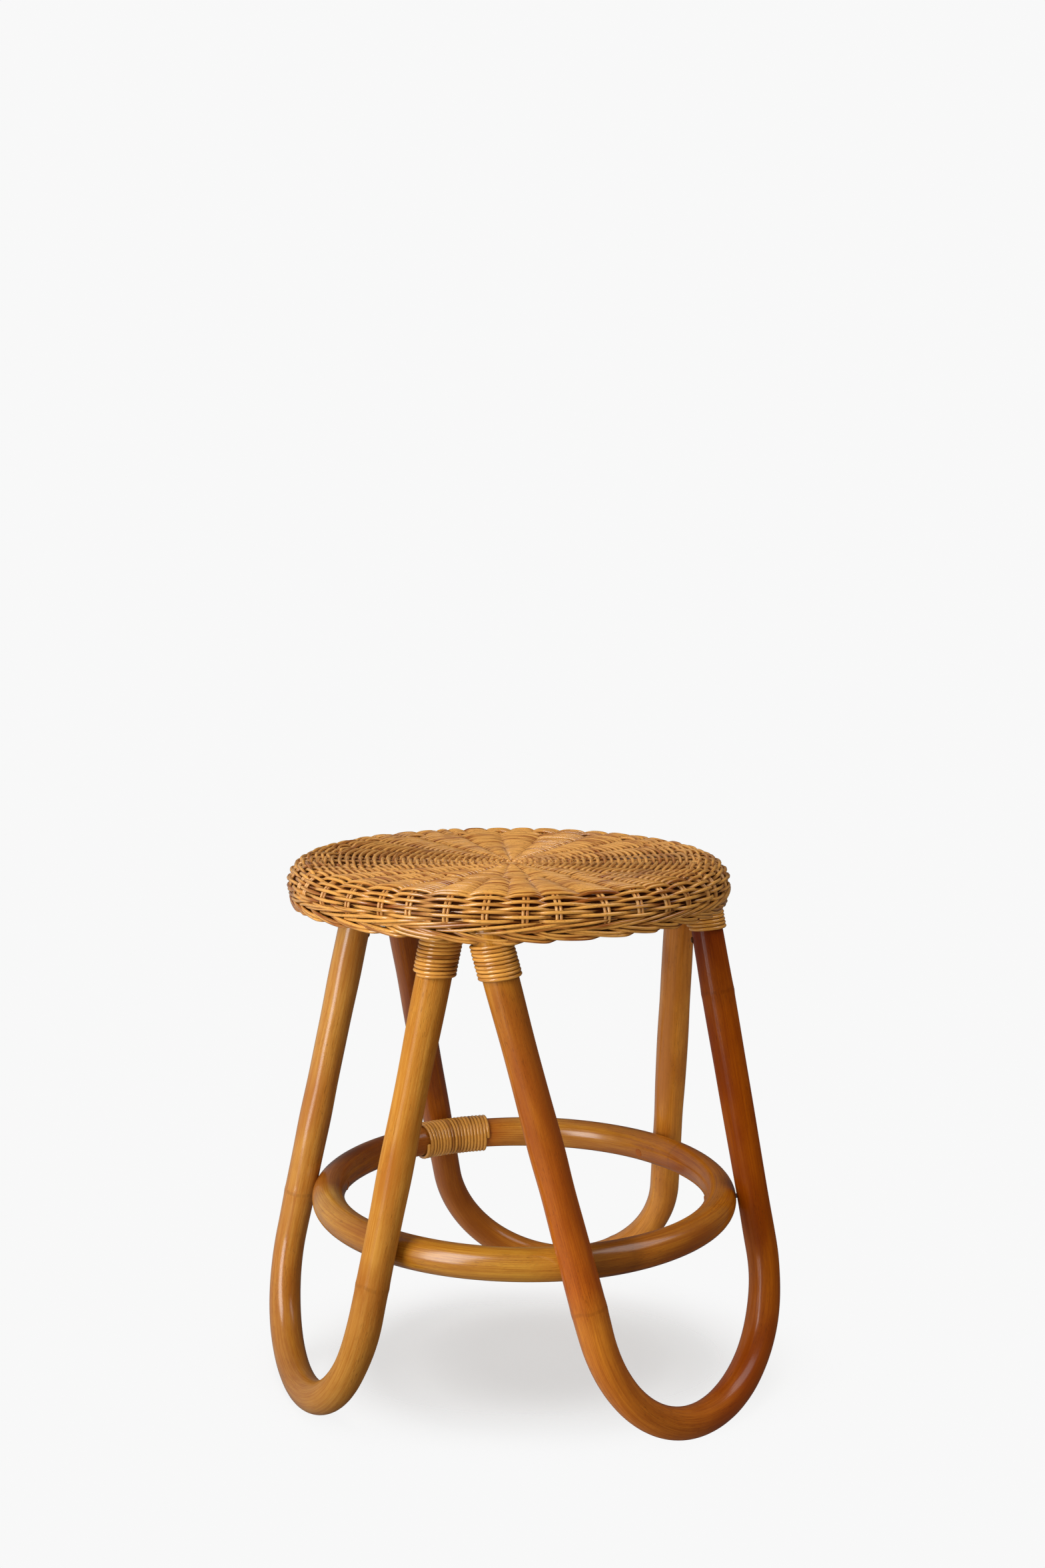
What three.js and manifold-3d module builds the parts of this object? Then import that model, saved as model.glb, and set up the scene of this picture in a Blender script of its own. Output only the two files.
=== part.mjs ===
// Round stool of bent rattan poles with a woven cane seat. Millimetres, +Z up.
// Three poles, each bent into a long U, stand on their bends. A ring lies inside their six arms and ties
// them together low down, and a hoop under the woven cover sits on the ends of the arms.
import * as THREE from "three";
import { mergeVertices } from "three/addons/utils/BufferGeometryUtils.js";
import Module from "manifold-3d";

const wasm = await Module();
wasm.setup();

// Clearances
const clearance = 0.3; // between pieces that touch
const overrun = 5; // how far every cutting tool runs past what it cuts
const mergeDistance = 0.001; // corners closer than this are one corner

// Poles
const poleRadius = 13.5; // legs and ring
const hoopPoleRadius = 13.2; // the hidden hoop
const footWear = 0.5; // depth of the flat that the floor has worn on each bend

// Seat
const seatHeight = 449; // floor to the top of the weave
const seatRadius = 183; // at the skirt's widest
const shoulderRadius = 19.7; // rounding between top and skirt
const coverDepth = 36.5; // top of the weave to the foot of the border
const weaveThickness = 5.6;
const borderHeight = 10.5;
const borderDrawIn = 4; // how far the border's foot lies inside the skirt's widest
const seatShift = new THREE.Vector2(-13.9, -0.9); // the cover's axis, from the ring's axis
const seatSag = 2.6; // how far the middle of the weave lies below its rim
const hubRadius = 9; // the flat middle of the weave

// Weave: a rib over each stake
const stakeCount = 42; // round the skirt
const stakeCrowding = 0.09; // radians, how far the stakes are moved towards the back
const ribDepth = 2.2; // from a rib's crest to the hollow beside it
const splitShares = { near: 0.563, far: 0.9 }; // where new stakes start in front and at the back, on the way to the shoulder
const splitTurn = { start: 0.25, end: 0.6 }; // of the sine of the way to the front, from the far share to the near one
const splitLength = 8; // over which a new stake's rib rises

// Hoop under the cover: it lies against the skirt on one side
const hoopOffset = 10.8; // hoop's centre from the cover's axis
const hoopOffsetFacing = THREE.MathUtils.degToRad(-22);
const saddleDepth = 6; // how far the arm's end reaches round the hoop

// Ring between the arms
const ringInset = 15.3; // how far the middle of its pole lies inside the skirt's widest
const ringHeight = 157.3;

// Slanted lap joints where the ends of the ring and of the hoop meet
const scarfLength = 62;
const ringScarfFacing = THREE.MathUtils.degToRad(114);
const hoopScarfFacing = THREE.MathUtils.degToRad(205);

// Cane windings
const caneRadius = 1.3;
const legWindingPitch = 3.1;
const legWindingTurns = 8;
const ringWindingPitch = 3.45; // along the middle of the ring's pole
const ringWindingTurns = 19;
const leastSelfGap = 0.4;

// Cross bars under the woven top
const barRadius = 8;
const barSpacing = 104;
const barDrop = 3; // below the weave at its rim, because its middle sags
const barFacing = THREE.MathUtils.degToRad(78); // they run from the front pair of arms to the back

// Screws from the hoop down into the ends of the arms
const hoopScrew = { radius: 2.2, headRadius: 4, headHeight: 2.6, length: 58, tip: 5 };
const hoopScrewAim = 42; // below the hoop's middle, where the screw's line meets the arm's axis

// Screws from the ring's inner face into the arms, and the wooden plugs over them
const ringScrew = { radius: 2, headRadius: 3.4, headHeight: 2.2, length: 32, tip: 4 };
const plugRadius = 3.9;
const plugLength = 4.5;
const plugDome = 0.5; // how far a plug's rounded face stands proud
const plugShoulderShares = { radius: 0.55, dome: 0.7 }; // a point of the face between its rim and its middle

// Nails through the lap joints and into the ends of the bars
const scarfNail = { radius: 1.2, headRadius: 2.2, headHeight: 0.9, length: 22, tip: 2.5 };
const barNail = { radius: 1.3, headRadius: 2.6, headHeight: 1, length: 40, tip: 3 };
const nailSink = 0.4; // below the pole's surface

// Tacks at the foot of the leg windings
const tack = { radius: 0.9, headRadius: 2.6, headHeight: 1.3, length: 10, tip: 2.5, domed: true };
const tackProud = 1.5;
const tackTurns = { right_rightArm: -14, back_leftArm: -45, back_rightArm: 50, left_leftArm: 40 };

// Facet counts
const poleSides = 16;
const hoopPoleSides = 12;
const bendSteps = 16;
const roundSteps = 40;
const shoulderSteps = 4;
const undersideShares = [2 / 3, 1 / 3, 0]; // of the way from the middle to the shoulder, across the dish
const borderSides = 8;
const windingSteps = 10;
const caneSides = 5;
const pinSides = 6;
const settlingRounds = 6; // for an arm's place at the ring

// The three leg loops. facing is the way that the loop looks out, seen from above; the spreads are half
// the angle between its two arms, at the ring and at the hoop; leftEnd and rightEnd say how far outside
// the hoop's middle the two arms end, left and right as seen from outside.
const degrees = THREE.MathUtils.degToRad;
const legs = {
  right: {
    facing: degrees(-41.5), ringSpread: degrees(35.9), hoopSpread: degrees(56.3), leftEnd: 8.2, rightEnd: 1.2,
  },
  back: {
    facing: degrees(79.8), ringSpread: degrees(32.5), hoopSpread: degrees(57.7), leftEnd: -3.4, rightEnd: 2.2,
  },
  left: {
    facing: degrees(203.7), ringSpread: degrees(30.5), hoopSpread: degrees(48.8), leftEnd: -12.1, rightEnd: -16.7,
  },
};
const boundArm = "back_rightArm"; // the arm that lies against the ring's winding

// Derived heights and radii
const seatAxis = new THREE.Vector3(seatShift.x, seatShift.y, 0);
const flatRadius = seatRadius - shoulderRadius;
const coverFoot = seatHeight - coverDepth;
const shoulderFoot = seatHeight - shoulderRadius;
const borderTop = coverFoot + borderHeight;
const weaveUnderside = seatHeight - weaveThickness;
const hoopHeight = weaveUnderside - clearance - hoopPoleRadius;
const hoopRadius = seatRadius - weaveThickness - clearance - hoopPoleRadius - hoopOffset;
const hoopCentre = seatAxis.clone().add(
  new THREE.Vector3(Math.cos(hoopOffsetFacing), Math.sin(hoopOffsetFacing), 0).multiplyScalar(hoopOffset),
);
hoopCentre.z = hoopHeight;
const ringCentre = new THREE.Vector3(0, 0, ringHeight);
const ringRadius = seatRadius - ringInset; // to the middle of the pole
const bendHeight = poleRadius - footWear; // middle of the pole at the foot of a bend
const scarfSlant = Math.asin((2 * poleRadius) / scarfLength);
// The winding's path is a polygon, so its corners lie further out than its sides.
const windingRadius = (poleRadius + clearance + caneRadius) / Math.cos(Math.PI / windingSteps);
const windingReach = windingRadius + caneRadius;

const colours = {
  pole: { color: 0xb8752a, roughness: 0.34, metalness: 0 },
  redPole: { color: 0xae6524, roughness: 0.34, metalness: 0 },
  hiddenPole: { color: 0xc29454, roughness: 0.55, metalness: 0 },
  weave: { color: 0xb98035, roughness: 0.5, metalness: 0 },
  cane: { color: 0xb27a30, roughness: 0.38, metalness: 0 },
  plug: { color: 0xb06a2c, roughness: 0.5, metalness: 0 },
  steel: { color: 0x8d8a84, roughness: 0.4, metalness: 1 },
  tack: { color: 0x6b4a2c, roughness: 0.45, metalness: 1 },
};

const stool = new THREE.Group();

function addPiece(name, geometry, finish) {
  const mesh = new THREE.Mesh(geometry, new THREE.MeshStandardMaterial(finish));
  mesh.name = name;
  stool.add(mesh);
  return mesh;
}

// Solids

function toSolid(geometry) {
  const bare = geometry.clone();
  bare.deleteAttribute("normal");
  bare.deleteAttribute("uv");
  const merged = mergeVertices(bare, mergeDistance);
  return new wasm.Manifold(
    new wasm.Mesh({
      numProp: 3,
      vertProperties: merged.attributes.position.array,
      triVerts: new Uint32Array(merged.index.array),
    }),
  );
}

function toGeometry(solid) {
  const mesh = solid.getMesh();
  const geometry = new THREE.BufferGeometry();
  geometry.setAttribute("position", new THREE.BufferAttribute(new Float32Array(mesh.vertProperties), 3));
  geometry.setIndex(new THREE.BufferAttribute(new Uint32Array(mesh.triVerts), 1));
  geometry.computeVertexNormals();
  return geometry;
}

// Takes each tool, a geometry that stands in the solid's own frame, away from the solid.
function cut(geometry, tools) {
  return toGeometry(tools.reduce((solid, tool) => solid.subtract(toSolid(tool)), toSolid(geometry)));
}

// A closed tube through stations. A station has its centre and the two unit vectors that span its section,
// so that across x up points along the tube.
function tube(stations, radius, sides) {
  const position = [];
  const index = [];
  for (const { centre, across, up } of stations)
    for (let side = 0; side < sides; side += 1) {
      const turn = (2 * Math.PI * side) / sides;
      const corner = centre.clone();
      corner.addScaledVector(across, radius * Math.cos(turn)).addScaledVector(up, radius * Math.sin(turn));
      position.push(...corner.toArray());
    }
  const corner = (station, side) => station * sides + (side % sides);
  for (let station = 0; station + 1 < stations.length; station += 1)
    for (let side = 0; side < sides; side += 1) {
      const [a, b] = [corner(station, side), corner(station, side + 1)];
      const [c, d] = [corner(station + 1, side + 1), corner(station + 1, side)];
      index.push(a, b, c, a, c, d);
    }
  const last = stations.length - 1;
  for (let side = 1; side + 1 < sides; side += 1) {
    index.push(corner(0, 0), corner(0, side + 1), corner(0, side));
    index.push(corner(last, 0), corner(last, side), corner(last, side + 1));
  }
  const geometry = new THREE.BufferGeometry();
  geometry.setAttribute("position", new THREE.Float32BufferAttribute(position, 3));
  geometry.setIndex(index);
  geometry.computeVertexNormals();
  return geometry;
}

// A straight round tool or bar from one point to another.
function rod(from, to, radius, sides) {
  const geometry = new THREE.CylinderGeometry(radius, radius, from.distanceTo(to), sides);
  geometry.applyQuaternion(
    new THREE.Quaternion().setFromUnitVectors(new THREE.Vector3(0, 1, 0), to.clone().sub(from).normalize()),
  );
  const middle = from.clone().lerp(to, 1 / 2);
  return geometry.translate(middle.x, middle.y, middle.z);
}

// A solid of revolution about +Z from a profile of [radius, height] points.
function turned(profile, steps) {
  return new THREE.LatheGeometry(profile.map(([r, z]) => new THREE.Vector2(r, z)), steps).rotateX(Math.PI / 2);
}

// A ribbed solid about +Z from rings, which run outwards and down. For each step, two to a stake, a ring gives
// the radius and height of a crest, its outward tilt above level, and the share of the ribs' depth taken there.
function ribbed(topHeight, rings, footHeight) {
  const steps = 2 * stakeCount;
  const position = [0, 0, topHeight];
  for (const ring of rings)
    for (let step = 0; step < steps; step += 1) {
      const { radius, height, tilt, hollow } = ring(step);
      const angle = stakeAngle(step / 2);
      const reach = radius - ribDepth * hollow * Math.cos(tilt);
      position.push(reach * Math.cos(angle), reach * Math.sin(angle), height - ribDepth * hollow * Math.sin(tilt));
    }
  position.push(0, 0, footHeight);
  const corner = (ring, step) => 1 + ring * steps + (step % steps);
  const last = rings.length - 1;
  const index = [];
  for (let step = 0; step < steps; step += 1) {
    index.push(0, corner(0, step), corner(0, step + 1));
    for (let ring = 0; ring < last; ring += 1) {
      const [a, b] = [corner(ring, step), corner(ring + 1, step)];
      const [c, d] = [corner(ring + 1, step + 1), corner(ring, step + 1)];
      index.push(a, b, c, a, c, d);
    }
    index.push(corner(last + 1, 0), corner(last, step + 1), corner(last, step));
  }
  const geometry = new THREE.BufferGeometry();
  geometry.setAttribute("position", new THREE.Float32BufferAttribute(position, 3));
  geometry.setIndex(index);
  geometry.computeVertexNormals();
  return geometry;
}

// Points of an arc in a profile, from one angle to another.
function arc(centreRadius, centreHeight, radius, fromAngle, toAngle, steps) {
  return Array.from({ length: steps + 1 }, (_, i) => {
    const angle = fromAngle + ((toAngle - fromAngle) * i) / steps;
    return [centreRadius + radius * Math.cos(angle), centreHeight + radius * Math.sin(angle)];
  });
}

// A pole bent into a level circle.
function roundPole(radius, poleR, centre, sides) {
  return new THREE.TorusGeometry(radius, poleR, sides, roundSteps).translate(centre.x, centre.y, centre.z);
}

// The hoop, or the space that it needs, which is wider than it by a clearance.
function hoopShape(room) {
  return roundPole(hoopRadius, hoopPoleRadius + room, hoopCentre, hoopPoleSides);
}

// Point on a level circle.
function onCircle(centre, radius, angle) {
  return new THREE.Vector3(centre.x + radius * Math.cos(angle), centre.y + radius * Math.sin(angle), centre.z);
}

// Leg loops

// The level distance between the ring's axis and an arm's axis, for arms that touch the ring. An arm
// leans, which brings it nearer to the ring than its level distance, so the lean is allowed for.
function armStandOff(contact, lean) {
  return ringRadius + contact / Math.cos(lean);
}

// Works out one loop: the plane it lies in, its bend and its two arms. All three lines that the bend
// touches are known (two arms and the line of its foot), so its centre comes from two linear equations.
function loopLayout(name, { facing, ringSpread, hoopSpread, leftEnd, rightEnd }) {
  const out = new THREE.Vector3(Math.cos(facing), Math.sin(facing), 0);
  const along = new THREE.Vector3(-out.y, out.x, 0);
  const ends = { left: { side: -1, end: leftEnd, lean: 0 }, right: { side: 1, end: rightEnd, lean: 0 } };
  const contactOf = (arm) =>
    poleRadius + clearance + (`${name}_${arm}Arm` === boundArm ? windingReach : poleRadius);
  const plain = ringRadius + poleRadius + clearance + poleRadius;
  const ringChord = plain * Math.cos(ringSpread);
  const hoopChord = hoopRadius * Math.cos(hoopSpread);
  const outAtRing = ringChord;
  const outAtHoop = hoopCentre.dot(out) + hoopChord;
  const slope = (outAtHoop - outAtRing) / (hoopHeight - ringHeight);
  const rise = out.clone().multiplyScalar(slope).add(new THREE.Vector3(0, 0, 1)).normalize();
  const foot = out.clone().multiplyScalar(outAtRing + slope * (bendHeight - ringHeight));
  foot.z = bendHeight;
  const heightInPlane = (z) => (z - bendHeight) / rise.z;
  const inPlane = (s, u) => foot.clone().addScaledVector(along, s).addScaledVector(rise, u);

  for (const [arm, end] of Object.entries(ends)) {
    const reach = hoopRadius + end.end;
    const hoopAcross = Math.sqrt(reach ** 2 - hoopChord ** 2);
    end.top = new THREE.Vector2(hoopCentre.dot(along) + end.side * hoopAcross, heightInPlane(hoopHeight));
    // The stand-off depends on the arm's lean and the lean on the stand-off, and a few rounds settle both.
    for (let round = 0; round < settlingRounds; round += 1) {
      const ringAcross = Math.sqrt(armStandOff(contactOf(arm), end.lean) ** 2 - ringChord ** 2);
      end.pass = new THREE.Vector2(end.side * ringAcross, heightInPlane(ringHeight));
      end.direction = end.top.clone().sub(end.pass).normalize();
      const direction = inPlane(end.direction.x, end.direction.y).sub(foot);
      const outward = inPlane(end.pass.x, end.pass.y).setZ(0).normalize();
      end.lean = Math.atan2(Math.abs(direction.dot(outward)), direction.z);
    }
  }

  // Distance from the bend's centre (s, R) to each arm equals R, and so does its height over the foot.
  const rows = Object.values(ends).map(({ side, pass, direction }) => {
    const inward = new THREE.Vector2(-direction.y, direction.x).multiplyScalar(side);
    return [inward.x, inward.y - 1, inward.dot(pass)];
  });
  const determinant = rows[0][0] * rows[1][1] - rows[1][0] * rows[0][1];
  const bendCentre = (rows[0][2] * rows[1][1] - rows[1][2] * rows[0][1]) / determinant;
  const bendRadius = (rows[0][0] * rows[1][2] - rows[1][0] * rows[0][2]) / determinant;
  const centre = new THREE.Vector2(bendCentre, bendRadius);

  const normal = along.clone().cross(rise);
  const endHeight = hoopHeight - hoopPoleRadius + saddleDepth;
  for (const [arm, end] of Object.entries(ends)) {
    const touch = end.direction.clone().multiplyScalar(centre.clone().sub(end.pass).dot(end.direction));
    end.touch = end.pass.clone().add(touch);
    const run = (heightInPlane(endHeight) - end.pass.y) / end.direction.y;
    end.tip = end.pass.clone().addScaledVector(end.direction, run);
    end.name = `${name}_${arm}Arm`;
    end.point = inPlane(end.pass.x, end.pass.y);
    end.up = inPlane(end.direction.x, end.direction.y).sub(foot);
    end.contact = contactOf(arm);
  }
  return { name, ends, centre, bendRadius, inPlane, normal, foot };
}

const loops = Object.entries(legs).map(([name, leg]) => loopLayout(name, leg));
const arms = loops.flatMap((loop) => Object.values(loop.ends));

// Point on an arm's axis at a height.
function armAt(arm, z) {
  return arm.point.clone().addScaledVector(arm.up, (z - arm.point.z) / arm.up.z);
}

function loopGeometry({ ends, centre, bendRadius, inPlane, normal, foot }) {
  const station = (point, tangent) => {
    const along = inPlane(tangent.x, tangent.y).sub(foot);
    return { centre: inPlane(point.x, point.y), across: normal, up: along.clone().cross(normal) };
  };
  const angleOf = (point) => Math.atan2(point.y - centre.y, point.x - centre.x);
  // The arc runs through the foot, at a quarter turn below the centre, and a station stands there.
  const bottom = -Math.PI / 2;
  const from = angleOf(ends.left.touch) > 0 ? angleOf(ends.left.touch) - 2 * Math.PI : angleOf(ends.left.touch);
  const to = angleOf(ends.right.touch);
  const stations = [station(ends.left.tip, ends.left.direction.clone().negate())];
  for (let step = 0; step <= bendSteps; step += 1) {
    const t = (2 * step) / bendSteps - 1;
    const angle = t < 0 ? bottom + (bottom - from) * t : bottom + (to - bottom) * t;
    const radial = new THREE.Vector2(Math.cos(angle), Math.sin(angle));
    const point = centre.clone().addScaledVector(radial, bendRadius);
    stations.push(station(point, new THREE.Vector2(-radial.y, radial.x)));
  }
  stations.push(station(ends.right.tip, ends.right.direction));
  return tube(stations, poleRadius, poleSides);
}

// A pin has a flat or a domed head, and stands head up along +Y of its own frame, with the head's top
// at its origin.
function pinGeometry({ radius, headRadius, headHeight, length, tip, domed }) {
  const crown = domed
    ? [[headRadius, -headHeight], [headRadius * Math.SQRT1_2, -headHeight * (1 - Math.SQRT1_2)], [0, 0]]
    : [[headRadius, -headHeight], [headRadius, 0], [0, 0]];
  const profile = [[0, -length], [radius, tip - length], [radius, -headHeight], ...crown];
  return new THREE.LatheGeometry(profile.map(([r, y]) => new THREE.Vector2(r, y)), pinSides);
}

function addPin(name, { pin, headAt, direction }, finish) {
  const mesh = addPiece(name, pinGeometry(pin), finish);
  mesh.position.copy(headAt);
  mesh.quaternion.setFromUnitVectors(new THREE.Vector3(0, -1, 0), direction);
}

// The radius of a faceted hole that clears a round pin with its flats.
function holeRadius(radius) {
  return (radius + clearance) / Math.cos(Math.PI / pinSides);
}

// The clearance hole of a pin, and the wider hole of its head, which run out through the surface.
function pinHoles({ pin, headAt, direction }) {
  const at = (distance) => headAt.clone().addScaledVector(direction, distance);
  return [
    rod(at(-overrun), at(pin.length + clearance), holeRadius(pin.radius), pinSides),
    rod(at(-overrun), at(pin.headHeight + clearance), holeRadius(pin.headRadius), pinSides),
  ];
}

// Cane windings

// A helix of cane about a path. path(s) gives the middle of the pole at the distance s along it, with
// the unit vectors inward and sideways, so that inward x sideways points along the path.
function winding(path, pitch, turns) {
  const steps = turns * windingSteps;
  const middleOf = (step) => {
    const { centre, inward, sideways } = path((pitch * step) / windingSteps);
    const turn = (2 * Math.PI * step) / windingSteps;
    const outward = inward.clone().multiplyScalar(Math.cos(turn)).addScaledVector(sideways, Math.sin(turn));
    return { point: centre.clone().addScaledVector(outward, windingRadius), outward };
  };
  const half = 1 / 2;
  const stations = [];
  for (let step = 0; step <= steps; step += 1) {
    const { point, outward } = middleOf(step);
    const tangent = middleOf(step + half).point.sub(middleOf(step - half).point).normalize();
    tangent.addScaledVector(outward, -tangent.dot(outward)).normalize();
    stations.push({ centre: point, across: outward, up: tangent.clone().cross(outward), tangent });
  }
  const tail = (station, sign) => ({
    ...station,
    centre: station.centre.clone().addScaledVector(station.tangent, sign * 2 * caneRadius),
  });
  return [tail(stations[0], -1), ...stations, tail(stations[steps], 1)];
}

// Least distance between the corners of neighbouring turns, measured on the tube's points.
function selfGap(geometry) {
  const position = geometry.getAttribute("position");
  const points = Array.from({ length: position.count }, (_, i) =>
    new THREE.Vector3().fromBufferAttribute(position, i),
  );
  const halfTurn = (windingSteps / 2) * caneSides;
  const twoTurns = 2 * windingSteps * caneSides;
  let least = Infinity;
  for (let i = 0; i < points.length; i += 1)
    for (let j = i + halfTurn; j < Math.min(points.length, i + twoTurns); j += 1)
      least = Math.min(least, points[i].distanceTo(points[j]));
  return least;
}

function addWinding(name, path, pitch, turns) {
  const geometry = tube(winding(path, pitch, turns), caneRadius, caneSides);
  const gap = selfGap(geometry);
  console.log(`${name}: ${turns} turns, least gap to itself ${gap.toFixed(2)} mm`);
  if (gap < leastSelfGap) console.log(`${name}: the turns lie closer than ${leastSelfGap} mm`);
  addPiece(name, geometry, colours.cane);
}

// The winding of an arm starts just below the border's foot and runs down the arm.
function legWindingStart(arm) {
  const tilt = Math.acos(arm.up.z);
  const top = coverFoot - clearance - windingReach * Math.sin(tilt) - caneRadius;
  return armAt(arm, top);
}

function inwardOf(arm, point) {
  const inward = seatAxis.clone().sub(point).setZ(0);
  return inward.addScaledVector(arm.up, -inward.dot(arm.up)).normalize();
}

function legWindingPath(arm) {
  const start = legWindingStart(arm);
  const down = arm.up.clone().negate();
  const inward = inwardOf(arm, start);
  const sideways = down.clone().cross(inward);
  return (s) => ({ centre: start.clone().addScaledVector(down, s), inward, sideways });
}

function ringWindingPath() {
  const half = (ringWindingPitch * ringWindingTurns) / 2;
  return (s) => {
    const angle = ringScarfFacing + (s - half) / ringRadius;
    const centre = onCircle(ringCentre, ringRadius, angle);
    const inward = ringCentre.clone().sub(centre).normalize();
    const along = new THREE.Vector3(-Math.sin(angle), Math.cos(angle), 0);
    return { centre, inward, sideways: along.clone().cross(inward) };
  };
}

// Where each fastener goes

function hoopScrewLine(arm) {
  const top = armAt(arm, hoopHeight);
  const angle = Math.atan2(top.y - hoopCentre.y, top.x - hoopCentre.x);
  const middle = onCircle(hoopCentre, hoopRadius, angle);
  const direction = armAt(arm, hoopHeight - hoopScrewAim).sub(middle).normalize();
  const headAt = middle.addScaledVector(direction, -(hoopPoleRadius - nailSink));
  return { pin: hoopScrew, headAt, direction };
}

function ringScrewLine(arm) {
  const angle = Math.atan2(arm.point.y, arm.point.x);
  const middle = onCircle(ringCentre, ringRadius, angle);
  const toMiddle = middle.clone().sub(arm.point);
  const nearest = arm.point.clone().addScaledVector(arm.up, toMiddle.dot(arm.up));
  const direction = nearest.sub(middle).normalize();
  const plugAt = middle.addScaledVector(direction, -poleRadius);
  const headAt = plugAt.clone().addScaledVector(direction, plugLength + clearance);
  return { pin: ringScrew, headAt, plugAt, direction };
}

function scarfNailLine(centre, radius, poleR, facing) {
  const middle = onCircle(centre, radius, facing);
  const direction = new THREE.Vector3(Math.cos(facing + scarfSlant), Math.sin(facing + scarfSlant), 0);
  const headAt = middle.addScaledVector(direction, -(poleR - nailSink));
  return { pin: scarfNail, headAt, direction };
}

function tackLine(arm) {
  const start = legWindingStart(arm);
  const below = legWindingPitch * legWindingTurns + caneRadius + clearance + tack.headRadius;
  const middle = start.clone().addScaledVector(arm.up, -below);
  const turn = THREE.MathUtils.degToRad(tackTurns[arm.name] ?? 0);
  const outOf = inwardOf(arm, start).applyAxisAngle(arm.up, turn);
  const headAt = middle.addScaledVector(outOf, poleRadius + clearance + tack.headHeight + tackProud);
  return { pin: tack, headAt, direction: outOf.clone().negate() };
}

const armScrews = new Map(arms.map((arm) => [arm.name, hoopScrewLine(arm)]));
const ringScrews = new Map(
  arms.filter((arm) => arm.name !== boundArm).map((arm) => [arm.name, ringScrewLine(arm)]),
);
const tacks = new Map(arms.map((arm) => [arm.name, tackLine(arm)]));
const ringScarfNail = scarfNailLine(ringCentre, ringRadius, poleRadius, ringScarfFacing);
const hoopScarfNail = scarfNailLine(hoopCentre, hoopRadius, hoopPoleRadius, hoopScarfFacing);

// The two bars run level across the hoop, under the weave, with a nail through the hoop at each end.
const barHeight = weaveUnderside - barDrop - barRadius;
const barLines = Object.entries({ right: -barSpacing / 2, left: barSpacing / 2 }).map(([name, offset]) => {
  const along = new THREE.Vector3(Math.cos(barFacing), Math.sin(barFacing), 0);
  const aside = new THREE.Vector3(-along.y, along.x, 0);
  const overMiddle = barHeight - hoopHeight;
  const middle = hoopCentre.clone().addScaledVector(aside, offset).setZ(barHeight);
  const halfLength = Math.sqrt(hoopRadius ** 2 - offset ** 2);
  const outer = hoopRadius + Math.sqrt(hoopPoleRadius ** 2 - overMiddle ** 2);
  const reach = Math.sqrt(outer ** 2 - offset ** 2) - barNail.headHeight - nailSink;
  const nails = Object.entries({ front: -1, back: 1 }).map(([end, side]) => ({
    end,
    pin: barNail,
    headAt: middle.clone().addScaledVector(along, side * reach),
    direction: along.clone().multiplyScalar(-side),
  }));
  return { name, halfLength, middle, along, nails };
});

// Pieces

function buildLoops() {
  const floorSize = 4 * (ringRadius + poleRadius);
  const floor = new THREE.BoxGeometry(floorSize, floorSize, overrun).translate(0, 0, -overrun / 2);
  const hoopSpace = hoopShape(clearance);
  for (const loop of loops) {
    const tools = [floor, hoopSpace];
    for (const { name } of Object.values(loop.ends)) {
      const lines = [armScrews.get(name), ringScrews.get(name), tacks.get(name)].filter(Boolean);
      tools.push(...lines.map((line) => pinHoles(line)[0]));
    }
    const finish = loop.name === "right" ? colours.redPole : colours.pole;
    addPiece(`${loop.name}_leg_loop`, cut(loopGeometry(loop), tools), finish);
  }
}

// A thin upright cut through a round pole, slanted across it.
function scarfSlit(centre, radius, poleR, facing) {
  const run = scarfLength + 2 * poleRadius;
  const middle = onCircle(centre, radius, facing);
  const slit = new THREE.BoxGeometry(run, clearance, 2 * (poleR + overrun));
  slit.rotateZ(facing + Math.PI / 2 + scarfSlant);
  return slit.translate(middle.x, middle.y, middle.z);
}

function buildRing() {
  const tools = [scarfSlit(ringCentre, ringRadius, poleRadius, ringScarfFacing)];
  for (const line of ringScrews.values()) {
    const mouth = line.plugAt.clone().addScaledVector(line.direction, -overrun);
    const bottom = line.headAt.clone().addScaledVector(line.direction, line.pin.headHeight + clearance);
    tools.push(pinHoles(line)[0], rod(mouth, bottom, holeRadius(plugRadius), pinSides));
  }
  tools.push(...pinHoles(ringScarfNail));
  addPiece("ring_stretcher", cut(roundPole(ringRadius, poleRadius, ringCentre, poleSides), tools), colours.pole);
  addPin("ring_scarf_nail", ringScarfNail, colours.steel);
  addWinding("ring_scarf_winding", ringWindingPath(), ringWindingPitch, ringWindingTurns);
}

// A plug with a slightly rounded face.
function plugGeometry() {
  const points = [
    [0, -plugLength],
    [plugRadius, -plugLength],
    [plugRadius, 0],
    [plugRadius * plugShoulderShares.radius, plugDome * plugShoulderShares.dome],
    [0, plugDome],
  ];
  return new THREE.LatheGeometry(points.map(([r, y]) => new THREE.Vector2(r, y)), pinSides);
}

function buildRingScrews() {
  for (const [name, line] of ringScrews) {
    addPin(`${name}_ring_screw`, line, colours.steel);
    const plug = addPiece(`${name}_ring_plug`, plugGeometry(), colours.plug);
    plug.position.copy(line.plugAt);
    plug.quaternion.setFromUnitVectors(new THREE.Vector3(0, -1, 0), line.direction);
  }
}

function buildHoop() {
  const tools = [scarfSlit(hoopCentre, hoopRadius, hoopPoleRadius, hoopScarfFacing)];
  const lines = [...armScrews.values(), ...barLines.flatMap(({ nails }) => nails), hoopScarfNail];
  tools.push(...lines.flatMap((line) => pinHoles(line)));
  addPiece("seat_hoop", cut(hoopShape(0), tools), colours.hiddenPole);
  addPin("hoop_scarf_nail", hoopScarfNail, colours.steel);
  for (const [name, line] of armScrews) addPin(`${name}_hoop_screw`, line, colours.steel);
}

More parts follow.
